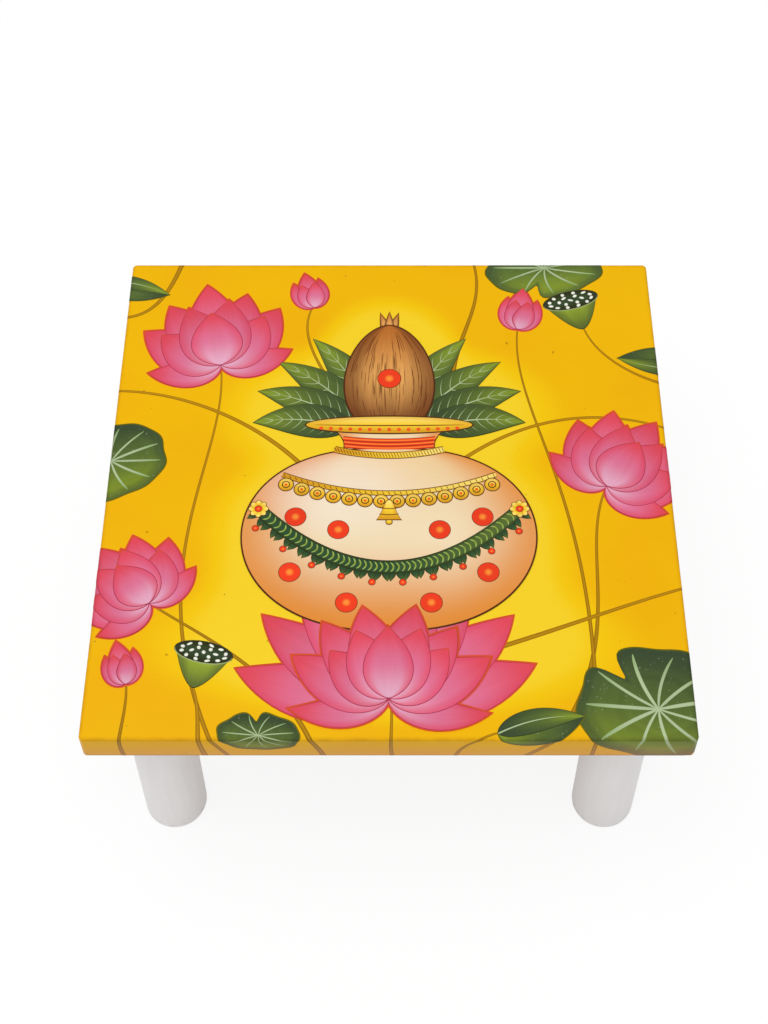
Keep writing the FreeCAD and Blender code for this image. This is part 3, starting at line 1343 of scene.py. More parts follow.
class Coat(Enum):
    """The design's coats of paint, each a piece of its own: its name and its finish."""

    STEMS = "stems", PaintFinish(
        P.STEM_LIGHT, P.STEM_LIGHT, P.STEM_LIGHT, P.STEM,
        edge_from=0.1, edge_to=0.9, edge_amount=0.85, streaks=0.5, streak_count=2.0,
    )
    PAD_LINES = "pad_outlines", PaintFinish(
        P.PAD_RIM, P.PAD_RIM, P.PAD_RIM, P.LEAF_LINE, 0.97, 1.0, 0.4
    )
    PADS = "lotus_pads", PaintFinish(
        P.LEAF_LIGHT, P.LEAF_MIDDLE, P.LEAF_DARK, P.LEAF_DARK,
        edge_from=0.7, edge_amount=0.7, streaks=0.42, streak_count=11.0, flecks=0.3,
    )
    VEINS = "pad_veins", PaintFinish(P.VEIN, P.VEIN, P.VEIN_SOFT, P.VEIN_SOFT, 0.4, 1.0, 0.6)
    PETAL_RIMS = "petal_rims", PaintFinish(P.RIM_RED, P.RIM_RUST, P.RIM_RUST, P.RIM_RUST)
    PETAL_LINES = "petal_outlines", PaintFinish(
        P.PETAL_LINE, P.PETAL_LINE, P.RIM_RUST, P.PETAL_LINE
    )
    PETALS = "lotus_petals", PaintFinish(
        P.PETAL_ROOT, P.PETAL_MIDDLE, P.PETAL_TIP, P.PETAL_EDGE,
        edge_from=0.45, edge_to=1.05, edge_amount=0.75, streak_count=6.0, spread=0.1,
    )
    LEAF_LINES = "leaf_outlines", PaintFinish(P.LEAF_LINE, P.LEAF_LINE, P.LEAF_DARK, P.LEAF_LINE)
    LEAVES = "mango_leaves", PaintFinish(
        P.LEAF_DARK, P.LEAF_MIDDLE, P.LEAF_LIGHT, P.LEAF_DARK,
        edge_from=0.2, edge_amount=0.6, streaks=0.35, streak_count=5.0, spread=0.2,
    )
    MIDRIBS = "leaf_midribs", PaintFinish(P.VEIN, P.VEIN, P.LEAF_LIGHT, P.LEAF_LIGHT)
    PODS = "seed_pods", PaintFinish(
        P.POD_DARK, P.POD_MIDDLE, P.POD_LIGHT, P.POD_DARK,
        edge_from=0.35, edge_amount=0.8, streaks=0.3, streak_count=5.0,
    )
    POD_FACES = "seed_pod_faces", PaintFinish(P.LEAF_LINE, P.LEAF_DARK, P.LEAF_LINE, P.INK_DARK)
    SEEDS = "lotus_seeds", PaintFinish(P.SEED, P.SEED, P.SEED, P.VEIN, edge_from=0.5)
    INK = "pot_outlines", PaintFinish(
        P.INK_BROWN, P.INK_BROWN, P.INK_BROWN, P.INK_DARK, streaks=0.25
    )
    POT = "pot", PaintFinish(
        P.ORANGE, P.CREAM, P.CREAM_WARM, P.ORANGE,
        edge_from=0.4, edge_to=1.05, edge_amount=0.9, streaks=0.05, streak_count=4.0, spread=0.02,
        shine=Oval(-30.0, -6.0, 16.0, 10.0, 26.0),
    )
    COCONUT = "coconut", PaintFinish(
        P.HUSK_DARK, P.HUSK_LIGHT, P.HUSK, P.HUSK_DARK,
        edge_from=0.25, edge_amount=0.8, streaks=0.5, streak_count=16.0,
    )
    GOLD = "gold_ornaments", PaintFinish(
        P.GOLD_DEEP, P.GOLD, P.GOLD_LIGHT, P.GOLD_DEEP, 0.45, 1.0, 0.6
    )
    GARLAND = "leaf_garland", PaintFinish(
        P.GARLAND, P.GARLAND, P.LEAF_MIDDLE, P.LEAF_LINE, 0.5, 1.0, 0.6
    )
    CRESCENTS = "garland_crescents", PaintFinish(
        P.GARLAND_LIGHT, P.LEAF_LIGHT, P.GARLAND_LIGHT, P.GARLAND_LIGHT
    )
    DOTS = "vermilion_dots", PaintFinish(
        P.VERMILION_LIGHT, P.VERMILION_LIGHT, P.VERMILION_LIGHT, P.VERMILION, 0.08, 0.5, 1.0
    )


class Painting:
    """The whole design: one relief for each coat of paint."""

    SEED = 11

    def __init__(self, skin: Skin) -> None:
        """Starts with bare coats.

        Args:
            skin: The sheet that the design is drawn on.
        """
        self.coats = {coat: Relief(skin, seed, *coat.value) for seed, coat in enumerate(Coat)}
        self.random = np.random.default_rng(self.SEED)
        self.stems = 0

    def fill(self, form: Form, level: float, coat: Coat, grow: float = 0.0) -> None:
        """Draws a form in one coat at a level, grown by a length in mm."""
        self.coats[coat].add(form.sheet(grow), level)

    def outline(
        self, form: Form, level: float, line: Coat, width: float, fill: Coat, rise: float = 0.5
    ) -> None:
        """Draws an outline of a width in mm at a level, and its form a rise above it."""
        self.fill(form, level, line, width)
        self.fill(form, level + rise, fill)

    def finish(self, edge: BoardEdge) -> None:
        """Turns every coat into a finished piece on a board with such edges."""
        for relief in self.coats.values():
            relief.finish(edge)


CLOSE = 0.4  # levels from a thin outline to its form


class Motif(Protocol):
    """Anything that can draw itself.

    Sizes and places are in mm, turns in degrees, and rises and steps in levels of paint.
    """

    def draw(self, painting: Painting) -> None:
        """Draws it on a painting."""


@dataclass(frozen=True)
class PetalRow:
    """A fan of petals that overlap towards its middle.

    Lengths and widths are shares of the flower's size. The fan is the angle in degrees from
    its first petal to its last, and curl bends each petal outwards.
    """

    count: int
    fan: float
    length_share: float
    width_share: float
    curl_share: float = 0.1
    outer_share: float = 0.86  # length of the outermost petals against the middle one

    @property
    def angles(self) -> list[float]:
        """The petals' angles from the fan's middle, the outermost first."""
        spread = np.linspace(-self.fan / 2, self.fan / 2, self.count) if self.count > 1 else [0.0]
        return sorted(spread, key=abs, reverse=True)


@dataclass(frozen=True)
class Lotus:
    """A lotus flower seen from the side, drawn row by row from the back.

    Under all of its petals lies the rust rim of each, which shows only round the flower.
    """

    x: float
    y: float
    size: float  # length of its longest petal
    turn: float = 0.0  # clockwise from pointing up the board
    level: float = 4.0
    rows: tuple[PetalRow, ...] = (
        PetalRow(5, 104.0, 1.0, 0.27),
        PetalRow(2, 176.0, 0.8, 0.17, 0.16),
        PetalRow(4, 92.0, 0.84, 0.25, 0.12),
        PetalRow(1, 0.0, 0.66, 0.25),
    )
    rim: float = 1.2  # how far the rust rim stands out
    line: float = 0.42  # how far a petal's outline stands out
    wander: float = 2.0  # how much a petal's angle strays
    stretch_shares: Point = (0.96, 1.03)  # how much its length strays
    rim_rise: float = -0.9
    rim_step: float = 0.06  # from one rim to the next

    def draw(self, painting: Painting) -> None:
        """Draws the petals, the outermost of each row first.

        Args:
            painting: What it is drawn on.
        """
        root = np.array([self.x, self.y])
        petals = [(row, angle) for row in self.rows for angle in row.angles]
        for number, (row, angle) in enumerate(petals):
            share = abs(angle) / max(row.fan / 2, 1.0)
            length = self.size * row.length_share * (1 - (1 - row.outer_share) * share)
            lean = angle + self.turn + painting.random.uniform(-self.wander, self.wander)
            tip = root + heading(lean) * length * painting.random.uniform(*self.stretch_shares)
            bend = row.curl_share * np.sign(angle) * share
            petal = Blade(root, tip, self.size * row.width_share, Profile.PETAL, bend)
            rim_level = self.level + (self.rim_rise + self.rim_step * number)
            painting.fill(petal, rim_level, Coat.PETAL_RIMS, self.rim)
            level = self.level + number
            painting.outline(petal, level, Coat.PETAL_LINES, self.line, Coat.PETALS)


@dataclass(frozen=True)
class LotusPad:
    """A round lotus leaf with a wavy rim, a notch and veins from its middle."""

    x: float
    y: float
    radius_x: float
    radius_y: float
    turn: float = 0.0
    level: float = 3.5
    notch: float = 270.0  # where its rim is notched, anticlockwise
    veins: int = 11
    spokes: int = 120
    rings: int = 18
    line: float = 0.75  # how far its olive rim stands out
    notch_share: float = 0.42  # how deep the notch is
    notch_width: float = 0.13  # radians
    wave_shares: tuple[Point, ...] = ((5, 0.025), (9, 0.018))  # (count, depth share) round the rim
    vein_share: float = 0.026  # half a vein's width against the pad's smaller radius
    vein_width_shares: Point = (0.8, 0.4)  # a vein's least width, and how much it strays
    vein_rise: float = 0.8
    vein_step: float = 0.04  # from one vein to the next
    vein_end_share: float = 0.9  # how far towards the rim it goes
    vein_sway: float = 0.12  # radians

    def rim(self, angle: np.ndarray) -> np.ndarray:
        """The rim's share of the radius: two waves, less a narrow notch.

        Args:
            angle: Angles in radians.

        Returns:
            The share at each.
        """
        (many, deep), (more, shallow) = self.wave_shares
        wave = 1 + deep * np.sin(many * angle + self.x) + shallow * np.sin(more * angle + self.y)
        off = np.angle(np.exp(1j * (angle - math.radians(self.notch))))
        return wave * (1 - self.notch_share * np.exp(-((off / self.notch_width) ** 2)))

    def draw(self, painting: Painting) -> None:
        """Draws the outline and the leaf, and then its veins.

        Args:
            painting: What it is drawn on.
        """
        rim = self.rim(np.linspace(0, 2 * math.pi, self.spokes, endpoint=False))
        radii = (self.radius_x, self.radius_y)
        pad = Disc((self.x, self.y), radii, self.turn, self.rings, rim=rim)
        painting.outline(pad, self.level, Coat.PAD_LINES, self.line, Coat.PADS, CLOSE)
        least, strays = self.vein_width_shares
        for number in range(self.veins):
            vein = self.vein(number, least + strays * painting.random.random())
            level = self.level + self.vein_step * number
            painting.fill(vein, level + self.vein_rise, Coat.VEINS)

    def vein(self, number: int, width: float) -> Stroke:
        """One vein: a bent tapering stroke from the pad's middle nearly to its rim.

        Args:
            number: Its number, anticlockwise from the notch.
            width: Its width against the usual.

        Returns:
            The stroke.
        """
        angle = math.radians(self.notch + (number + 0.5) * 360.0 / self.veins)
        share = self.vein_end_share * float(self.rim(np.array(angle)))
        sway = self.vein_sway * math.sin(angle + math.radians(self.turn))
        path = [
            np.zeros(2),
            0.5 * share * np.array([math.cos(angle + sway), math.sin(angle + sway)]),
            share * np.array([math.cos(angle - sway), math.sin(angle - sway)]),
        ]
        radii = np.array([self.radius_x, self.radius_y])
        controls = np.array(path) * radii @ rotation(self.turn).T + (self.x, self.y)
        return Stroke(controls, self.vein_share * min(radii) * width, taper_share=0.75, rows=30)


@dataclass(frozen=True)
class FoldedPad:
    """A lotus leaf seen from its side: a dark hollow with its near half folded over it."""

    x: float  # where its stem meets it
    y: float
    length: float
    half_width: float
    turn: float  # clockwise from pointing up the board
    level: float = 5.2
    hollow_bend_share: float = 0.1
    fold_bend_share: float = -0.14
    fold_share: float = 0.62  # width of the fold against the hollow
    fold_rise: float = 0.8
    hollow_line: float = 0.5
    fold_line: float = 0.3
    vein_half: float = 0.4

    def draw(self, painting: Painting) -> None:
        """Draws the hollow, and over it the lighter fold with a pale vein.

        Args:
            painting: What it is drawn on.
        """
        root = np.array([self.x, self.y])
        tip = root + heading(self.turn) * self.length
        hollow = Blade(root, tip, self.half_width, Profile.SLENDER, self.hollow_bend_share)
        half = self.half_width * self.fold_share
        fold = Blade(root, tip, half, Profile.SLENDER, self.fold_bend_share)
        vein = Blade(root, tip, self.vein_half, Profile.VEIN, self.fold_bend_share, columns=3)
        painting.outline(hollow, self.level, Coat.PAD_LINES, self.hollow_line, Coat.PADS, CLOSE)
        level = self.level + self.fold_rise
        painting.outline(fold, level, Coat.LEAF_LINES, self.fold_line, Coat.LEAVES, CLOSE)
        painting.fill(vein, self.level + 2 * self.fold_rise, Coat.MIDRIBS)


@dataclass(frozen=True)
class SeedPod:
    """A lotus seed head: a green cone with a dark oval face set with pale seeds."""

    x: float  # the foot of the cone
    y: float
    size: float  # from the foot to the face
    turn: float = 0.0
    level: float = 5.0
    ring_shares: tuple[tuple, ...] = ((1, 0.0, 0.0), (6, 0.0, 0.42), (12, 0.5, 0.78))
    cone_share: float = 0.72  # half the cone's width at its mouth against its size
    face_shares: Point = (1.04, 0.4)  # the face's radii against that half width
    line: float = 0.4
    face_line: float = 0.5
    lip_line: float = 0.1
    lip_drop: float = 0.5  # how far the pale lip shows below the face
    face_line_rise: float = 0.8
    lip_rise: float = 1.2
    face_rise: float = 1.6
    seed_rise: float = 2.1
    seed_share: float = 0.07  # a seed's radius against the face's
    seed_slimness: float = 1.25  # how much longer than wide a seed is
    swell_shares: Point = (0.75, 1.25)  # how much its shape strays
    seed_lean: float = 40.0  # how much its turn strays

    def draw(self, painting: Painting) -> None:
        """Draws the cone, its lip, the face and each ring's seeds, by (count, shift, share).

        Args:
            painting: What it is drawn on.
        """
        foot = np.array([self.x, self.y])
        ahead = heading(self.turn)
        mouth = foot + ahead * self.size
        half = self.cone_share * self.size
        radii = tuple(half * share for share in self.face_shares)
        cone = Blade(foot, mouth, half, Profile.CONE)
        face = Disc(mouth, radii, -self.turn)
        lip = Disc(mouth - ahead * self.lip_drop, radii, -self.turn, rings=2)
        painting.outline(cone, self.level, Coat.LEAF_LINES, self.line, Coat.PODS, CLOSE)
        level = self.level + self.face_line_rise
        painting.fill(face, level, Coat.LEAF_LINES, self.face_line)
        painting.fill(lip, self.level + self.lip_rise, Coat.MIDRIBS, self.lip_line)
        painting.fill(face, self.level + self.face_rise, Coat.POD_FACES)
        for count, shift, share in self.ring_shares:
            for number in range(count):
                angle = 2 * math.pi * (number + shift) / count
                spot = np.array([math.cos(angle), math.sin(angle)]) * share * radii
                self.draw_seed(painting, rotation(-self.turn) @ spot + mouth)

    def draw_seed(self, painting: Painting, spot: np.ndarray) -> None:
        """Draws one seed, a little oval of uneven shape.

        Args:
            painting: What it is drawn on.
            spot: Its middle.
        """
        swell = painting.random.uniform(*self.swell_shares)
        lean = painting.random.uniform(-self.seed_lean, self.seed_lean)
        radius = self.seed_share * self.cone_share * self.size
        stretch = self.seed_slimness * swell
        radii = (radius * stretch, radius / stretch)
        seed = Disc(spot, radii, lean - self.turn, rings=2, spokes=12)
        painting.fill(seed, self.level + self.seed_rise, Coat.SEEDS)


@dataclass(frozen=True)
class Stem:
    """A long thin stem along a Bezier curve, which widens away from its flower."""

    controls: tuple[Point, ...]
    half_width: float = 1.02
    level: float = 1.0
    level_step: float = 0.12  # from one stem to the next, so that crossings are clean
    swell_share: float = 0.4
    width_shares: Point = (0.75, 1.15)  # how much its width strays

    def draw(self, painting: Painting) -> None:
        """Draws the stroke a little above the stems before it.

        Args:
            painting: What it is drawn on.
        """
        level = self.level + self.level_step * painting.stems
        painting.stems += 1
        half_width = self.half_width * painting.random.uniform(*self.width_shares)
        stem = Stroke(self.controls, half_width, swell_share=self.swell_share, rows=70)
        painting.fill(stem, level, Coat.STEMS)


@dataclass(frozen=True)
class Leaf:
    """A pointed leaf over its outline, with a pale midrib and side veins."""

    root: np.ndarray
    tip: np.ndarray
    half_width: float
    level: float
    bend_share: float = 0.0
    line: float = 0.35
    rib_half: float = 0.6
    vein_half: float = 0.24
    vein_bend_share: float = 0.14
    rib_rise: float = 0.9
    vein_rise: float = 0.7
    vein_step: float = 0.05  # how much higher the veins of the right side lie, and lower the left
    veins: int = 8
    vein_shares: Point = (0.1, 0.8)  # where along the leaf the first and last veins start
    slant_share: float = 0.13  # how much further along the leaf a vein ends
    reach_share: float = 0.84  # how far towards the leaf's edge it goes

    def draw(self, painting: Painting) -> None:
        """Draws the leaf, its midrib and its veins.

        Args:
            painting: What it is drawn on.
        """
        leaf = Blade(self.root, self.tip, self.half_width, Profile.SLENDER, self.bend_share)
        rib = Blade(self.root, self.tip, self.rib_half, Profile.VEIN, self.bend_share, columns=3)
        painting.outline(leaf, self.level, Coat.LEAF_LINES, self.line, Coat.LEAVES, CLOSE)
        painting.fill(rib, self.level + self.rib_rise, Coat.MIDRIBS)
        starts = np.linspace(*self.vein_shares, self.veins)
        ends = starts + self.slant_share
        spans = self.reach_share * self.half_width * Profile.SLENDER.width(ends)
        right = leaf.right / np.linalg.norm(leaf.right)
        places = zip(bezier(leaf.controls, starts), bezier(leaf.controls, ends), spans)
        for base, beyond, span in places:
            for side in (-1.0, 1.0):
                out = beyond + right * side * span
                bend = self.vein_bend_share * side
                vein = Blade(base, out, self.vein_half, Profile.VEIN, bend, rows=8, columns=3)
                rise = self.vein_rise + self.vein_step * side
                painting.fill(vein, self.level + rise, Coat.MIDRIBS)


@dataclass(frozen=True)
class LeafFan:
    """Mango leaves that fan out of the pot's mouth, the outer ones bent down."""

    y: float  # where they come out
    spread: float = 22.0  # how far out the outermost pair starts
    length: float = 62.0
    half_width: float = 11.0
    bend_share: float = 0.14
    level: float = 4.0
    level_step: float = 1.2
    pair_shares: tuple[Point, ...] = ((30.0, 1.16), (48.0, 1.1), (66.0, 1.0), (86.0, 0.86))

    def draw(self, painting: Painting) -> None:
        """Draws the pairs from the innermost, each a (turn, share of the length).

        Args:
            painting: What it is drawn on.
        """
        level = self.level
        outermost, _ = self.pair_shares[-1]
        for turn, share in self.pair_shares:
            for side in (-1.0, 1.0):
                root = np.array([side * self.spread * turn / outermost, self.y])
                tip = root + heading(side * turn) * self.length * share
                leaf = Leaf(root, tip, self.half_width, level, -self.bend_share * side)
                leaf.draw(painting)
                level += self.level_step


@dataclass(frozen=True)
class Coconut:
    """A coconut in its husk: a tuft at its top, fibres down it and a vermilion dot."""

    foot_y: float
    top_y: float = 106.0
    half: float = 25.0
    line: float = 0.9
    level: float = 14.0
    tuft_leans: tuple[float, ...] = (-16.0, 0.0, 16.0)
    tuft_shift: float = 2.0  # degrees, so that no two blades of the tuft lie at one level
    tuft_turn: float = 16.0  # degrees of lean that lower a blade by one level
    tuft_rise: float = -1.0
    tuft_line: float = 0.4
    tuft_drop: float = 9.0  # how far below the top the tuft starts
    tuft_length: float = 19.0
    tuft_half: float = 2.8
    fibres: int = 90
    fibre_half: float = 0.15
    fibre_rise: float = 0.8
    fibre_step: float = 0.01  # from one fibre to the next
    fibre_side_share: float = 0.92  # how far out a fibre lies at most
    fibre_start_shares: Point = (0.05, 0.78)  # the shares of the husk's length where one starts
    fibre_length_shares: Point = (0.08, 0.26)
    fibre_end_share: float = 0.94  # where the highest one ends
    dot_height: float = 36.0  # from the foot to the dot
    dot_radius: float = 6.4
    dot_line: float = 0.35
    dot_rise: float = 2.0

    def draw(self, painting: Painting) -> None:
        """Draws the tuft, the husk over it, the fibres and the dot.

        Args:
            painting: What it is drawn on.
        """
        start = np.array([0.0, self.top_y - self.tuft_drop])
        for lean in self.tuft_leans:
            end = start + heading(lean) * self.tuft_length
            level = self.level + self.tuft_rise - abs(lean + self.tuft_shift) / self.tuft_turn
            tuft = Blade(start, end, self.tuft_half, Profile.DROP)
            painting.outline(tuft, level, Coat.INK, self.tuft_line, Coat.COCONUT, CLOSE)
        foot, top = (0.0, self.foot_y), (0.0, self.top_y)
        husk = Blade(foot, top, self.half, Profile.EGG, rows=61, columns=15)
        painting.outline(husk, self.level, Coat.INK, self.line, Coat.COCONUT)
        for number in range(self.fibres):
            level = self.level + self.fibre_step * number
            painting.fill(self.fibre(painting.random), level + self.fibre_rise, Coat.INK)
        dot = Disc.round((0.0, self.foot_y + self.dot_height), self.dot_radius)
        painting.outline(dot, self.level + self.dot_rise, Coat.INK, self.dot_line, Coat.DOTS)

    def fibre(self, random: np.random.Generator) -> Stroke:
        """One fibre: a thin stroke that follows the husk's bulge over a random stretch.

        Args:
            random: The painting's random numbers.

        Returns:
            The stroke.
        """
        share = random.uniform(-self.fibre_side_share, self.fibre_side_share)
        low = random.uniform(*self.fibre_start_shares)
        high = min(low + random.uniform(*self.fibre_length_shares), self.fibre_end_share)
        places = np.linspace(low, high, 3)
        spread = share * self.half * Profile.EGG.width(places)
        path = np.column_stack([spread, self.foot_y + (self.top_y - self.foot_y) * places])
        return Stroke(path, self.fibre_half, taper_share=0.9, rows=8)


@dataclass(frozen=True)
class PotRim:
    """The pot's rim: a gold roll with a dark lip line and a row of beads."""

    y: float
    half: float
    level: float
    line: float = 0.9
    depth: float = 5.5
    lip_half: float = 0.35
    lip_share: float = 0.9  # how far out the lip line goes
    lip_sag: float = 0.5
    lip_rise: float = 1.0
    beads: int = 15
    bead_radius: float = 1.1
    bead_share: float = 0.82  # how far out the beads go
    bead_drop: float = 1.8  # from the roll's middle to the outermost bead
    bead_sag: float = 1.4
    bead_rise: float = 1.4

    def draw(self, painting: Painting) -> None:
        """Draws the roll, the lip line across it and the beads under that.

        Args:
            painting: What it is drawn on.
        """
        roll = Disc((0.0, self.y), (self.half, self.depth), spokes=80)
        painting.outline(roll, self.level, Coat.INK, self.line, Coat.GOLD)
        lip = Swag(self.lip_share * self.half, self.y, self.lip_sag)
        lip_line = Stroke(lip.controls, self.lip_half, taper_share=0.8)
        painting.fill(lip_line, self.level + self.lip_rise, Coat.INK)
        for share in np.linspace(-self.bead_share, self.bead_share, self.beads):
            spot = (share * self.half, self.y - self.bead_drop - self.bead_sag * (1 - share**2))
            bead = Disc.round(spot, self.bead_radius, rings=2, spokes=12)
            painting.fill(bead, self.level + self.bead_rise, Coat.DOTS)


@dataclass(frozen=True)
class Swag:
    """The curve of a hanging chain, a parabola: y falls by sag times (1 - share squared)."""

    half: float  # half its span
    y: float  # the height of its ends
    sag: float

    @property
    def controls(self) -> list[Point]:
        """The control points of the same curve."""
        return [(-self.half, self.y), (0.0, self.y - 2 * self.sag), (self.half, self.y)]

    def places(self, end_share: float, count: int) -> tuple[np.ndarray, ...]:
        """Evenly spread places along the curve.

        Args:
            end_share: The share of the half span that they reach on each side.
            count: How many they are.

        Returns:
            The places, the unit direction along the curve at each, and the one below it.
        """
        shares = np.linspace(-end_share, end_share, count)
        places = np.column_stack([shares * self.half, self.y - self.sag * (1 - shares**2)])
        along = np.column_stack([np.full(count, self.half), 2 * self.sag * shares])
        along /= np.linalg.norm(along, axis=1)[:, None]
        return places, along, np.column_stack([along[:, 1], -along[:, 0]])


@dataclass(frozen=True)
class Chain:
    """A twisted gold chain along a swag, or without twists a thread."""

    swag: Swag
    half_width: float
    level: float
    coat: Coat = Coat.GOLD
    line: float = 0.45
    rows: int = 60
    twists: int = 37
    twist_end_share: float = 0.98
    twist_half: float = 0.22
    twist_turn: float = 25.0
    twist_rise: float = 0.9

    def draw(self, painting: Painting) -> None:
        """Draws the chain over its outline, and a slanting mark for each of its twists.

        Args:
            painting: What it is drawn on.
        """
        chain = Stroke(self.swag.controls, self.half_width, rows=self.rows)
        painting.outline(chain, self.level, Coat.INK, self.line, self.coat)
        places, _, _ = self.swag.places(self.twist_end_share, self.twists)
        for spot in places:
            radii = (self.twist_half, self.half_width)
            twist = Disc(spot, radii, self.twist_turn, rings=1, spokes=8)
            painting.fill(twist, self.level + self.twist_rise, Coat.INK)


@dataclass(frozen=True)
class Medallions:
    """Round gold medallions in a row below a swag, each with a ring and a red middle."""

    swag: Swag
    level: float
    count: int = 14
    row_end_share: float = 0.93
    drop: float = 5.2  # from the swag to their middles
    radius: float = 3.9
    line: float = 0.5
    level_step: float = 0.25  # how much higher every second one lies
    # What lies on each one: (radius, rise, coat, rings, spokes)
    discs: tuple[tuple, ...] = (
        (2.3, 1.0, Coat.INK, 2, 16),
        (1.75, 1.4, Coat.GOLD, 2, 16),
        (0.8, 1.8, Coat.DOTS, 1, 10),
    )

    def draw(self, painting: Painting) -> None:
        """Draws each medallion, and on it the ring, the core and the dot.

        Args:
            painting: What it is drawn on.
        """
        places, _, below = self.swag.places(self.row_end_share, self.count)
        for number, spot in enumerate(places + below * self.drop):
            level = self.level + self.level_step * (number % 2)
            medallion = Disc.round(spot, self.radius)
            painting.outline(medallion, level, Coat.INK, self.line, Coat.GOLD)
            for radius, rise, coat, rings, spokes in self.discs:
                painting.fill(Disc.round(spot, radius, rings, spokes), level + rise, coat)


@dataclass(frozen=True)
class Bell:
    """A small gold bell: a domed body with two bands, and a clapper below it."""

    y: float  # its top
    size: float  # half the body's width
    level: float
    length_share: float = 1.9
    clapper_share: float = 0.24
    clapper_line: float = 0.4
    line: float = 0.5
    body_rise: float = 1.0
    band_shares: tuple[Point, ...] = ((1.35, 0.8), (0.75, 0.72))  # (drop, half width) by size
    band_sag_share: float = 0.1
    band_half: float = 0.25
    band_taper_share: float = 0.3
    band_rise: float = 2.0

    def draw(self, painting: Painting) -> None:
        """Draws the clapper, the body over it and the bands.

        Args:
            painting: What it is drawn on.
        """
        size = self.size
        foot_y = self.y - self.length_share * size
        radius = self.clapper_share * size
        clapper = Disc.round((0.0, foot_y - radius), radius)
        painting.outline(clapper, self.level, Coat.INK, self.clapper_line, Coat.GOLD)
        body = Blade((0.0, foot_y), (0.0, self.y), size, Profile.BELL, rows=41, columns=9)
        painting.outline(body, self.level + self.body_rise, Coat.INK, self.line, Coat.GOLD)
        for drop, half in self.band_shares:
            swag = Swag(half * size, self.y - drop * size, self.band_sag_share * size)
            band = Stroke(swag.controls, self.band_half, self.band_taper_share, rows=16)
            painting.fill(band, self.level + self.band_rise, Coat.INK)


@dataclass(frozen=True)
class Rosette:
    """A round flower of short gold petals about a vermilion dot."""

    x: float
    y: float
    size: float
    level: float
    petals: int = 8
    petal_share: float = 0.34  # half a petal's width against the size
    dot_share: float = 0.36
    line: float = 0.3
    dot_line: float = 0.25
    dot_rise: float = 1.2
    level_step: float = 0.05

    def draw(self, painting: Painting) -> None:
        """Draws the petals in turn, and the dot over them.

        Args:
            painting: What it is drawn on.
        """
        middle = np.array([self.x, self.y])
        half = self.petal_share * self.size
        for number in range(self.petals):
            tip = middle + heading(360.0 / self.petals * number) * self.size
            petal = Blade(middle, tip, half, Profile.OVAL, rows=11, columns=5)
            level = self.level + self.level_step * number
            painting.outline(petal, level, Coat.INK, self.line, Coat.GOLD)
        dot = Disc.round(middle, self.dot_share * self.size)
        painting.outline(dot, self.level + self.dot_rise, Coat.INK, self.dot_line, Coat.DOTS)


@dataclass(frozen=True)
class LeafGarland:
    """A garland on the belly: a dark band of crescents, fringed with leaves and red beads."""

    swag: Swag
    level: float
    band_half: float = 3.5
    band_line: float = 0.6
    band_rise: float = 2.0
    leaves: int = 40
    fringe_end_share: float = 0.985
    leaf_ends: Point = (2.2, 8.2)  # where a leaf starts and ends below the swag
    leaf_half: float = 2.0
    leaf_line: float = 0.25
    leaf_lean: float = 1.2
    bead_radius: float = 1.7
    bead_drop: float = 1.2  # from a leaf's tip to its bead's middle
    bead_line: float = 0.3
    bead_rise: float = 2.4
    bead_every: int = 4  # leaves from one bead to the next
    crescents: int = 48
    crescent_end_share: float = 0.97
    crescent_half: float = 0.42
    crescent_span: float = 2.8  # from the swag to either end of a crescent
    crescent_back: float = 0.6  # how far its ends lie back along the swag
    crescent_bulge: float = 2.6  # how far its middle control point lies ahead
    crescent_rise: float = 3.0
    rosette: float = 5.2
    rosette_rise: float = 4.0

    def draw(self, painting: Painting) -> None:
        """Draws the fringe, the band over it, the crescents, and a rosette at each end.

        Args:
            painting: What it is drawn on.
        """
        self.draw_fringe(painting)
        band = Stroke(self.swag.controls, self.band_half, taper_share=0.1, rows=90)
        level = self.level + self.band_rise
        painting.outline(band, level, Coat.LEAF_LINES, self.band_line, Coat.GARLAND)
        for spot, ahead, down in zip(*self.swag.places(self.crescent_end_share, self.crescents)):
            back, out = spot - ahead * self.crescent_back, down * self.crescent_span
            arc = np.array([back + out, spot + ahead * self.crescent_bulge, back - out])
            crescent = Stroke(arc, self.crescent_half, taper_share=0.7, rows=9)
            painting.fill(crescent, self.level + self.crescent_rise, Coat.CRESCENTS)
        level = self.level + self.rosette_rise
        for side in (-1.0, 1.0):
            Rosette(side * self.swag.half, self.swag.y, self.rosette, level).draw(painting)

    def draw_fringe(self, painting: Painting) -> None:
        """Draws the hanging leaves, which lean by turns, and the beads under some of them.

        Args:
            painting: What it is drawn on.
        """
        start, end = self.leaf_ends
        places = zip(*self.swag.places(self.fringe_end_share, self.leaves))
        for number, (spot, ahead, down) in enumerate(places):
            odd = number % 2
            lean = ahead * (self.leaf_lean if odd else -self.leaf_lean)
            tip = spot + down * end + lean
            leaf = Blade(spot + down * start, tip, self.leaf_half, Profile.DROP, rows=13, columns=3)
            level = self.level + odd
            painting.outline(leaf, level, Coat.LEAF_LINES, self.leaf_line, Coat.GARLAND)
            if number % self.bead_every == 1:
                bead = Disc.round(tip + down * self.bead_drop, self.bead_radius)
                level = self.level + self.bead_rise
                painting.outline(bead, level, Coat.INK, self.bead_line, Coat.DOTS)


@dataclass(frozen=True)
class Spots:
    """Round vermilion spots painted on the belly."""

    level: float
    radius: float = 5.6
    line: float = 0.3
    places: tuple[Point, ...] = (
        (-50, -24), (-27, -32), (27, -32), (50, -24), (-52, -58), (52, -58), (-22, -76), (22, -76),
    )

    def draw(self, painting: Painting) -> None:
        """Draws each spot over its outline."""
        for spot in (Disc.round(place, self.radius) for place in self.places):
            painting.outline(spot, self.level, Coat.INK, self.line, Coat.DOTS)


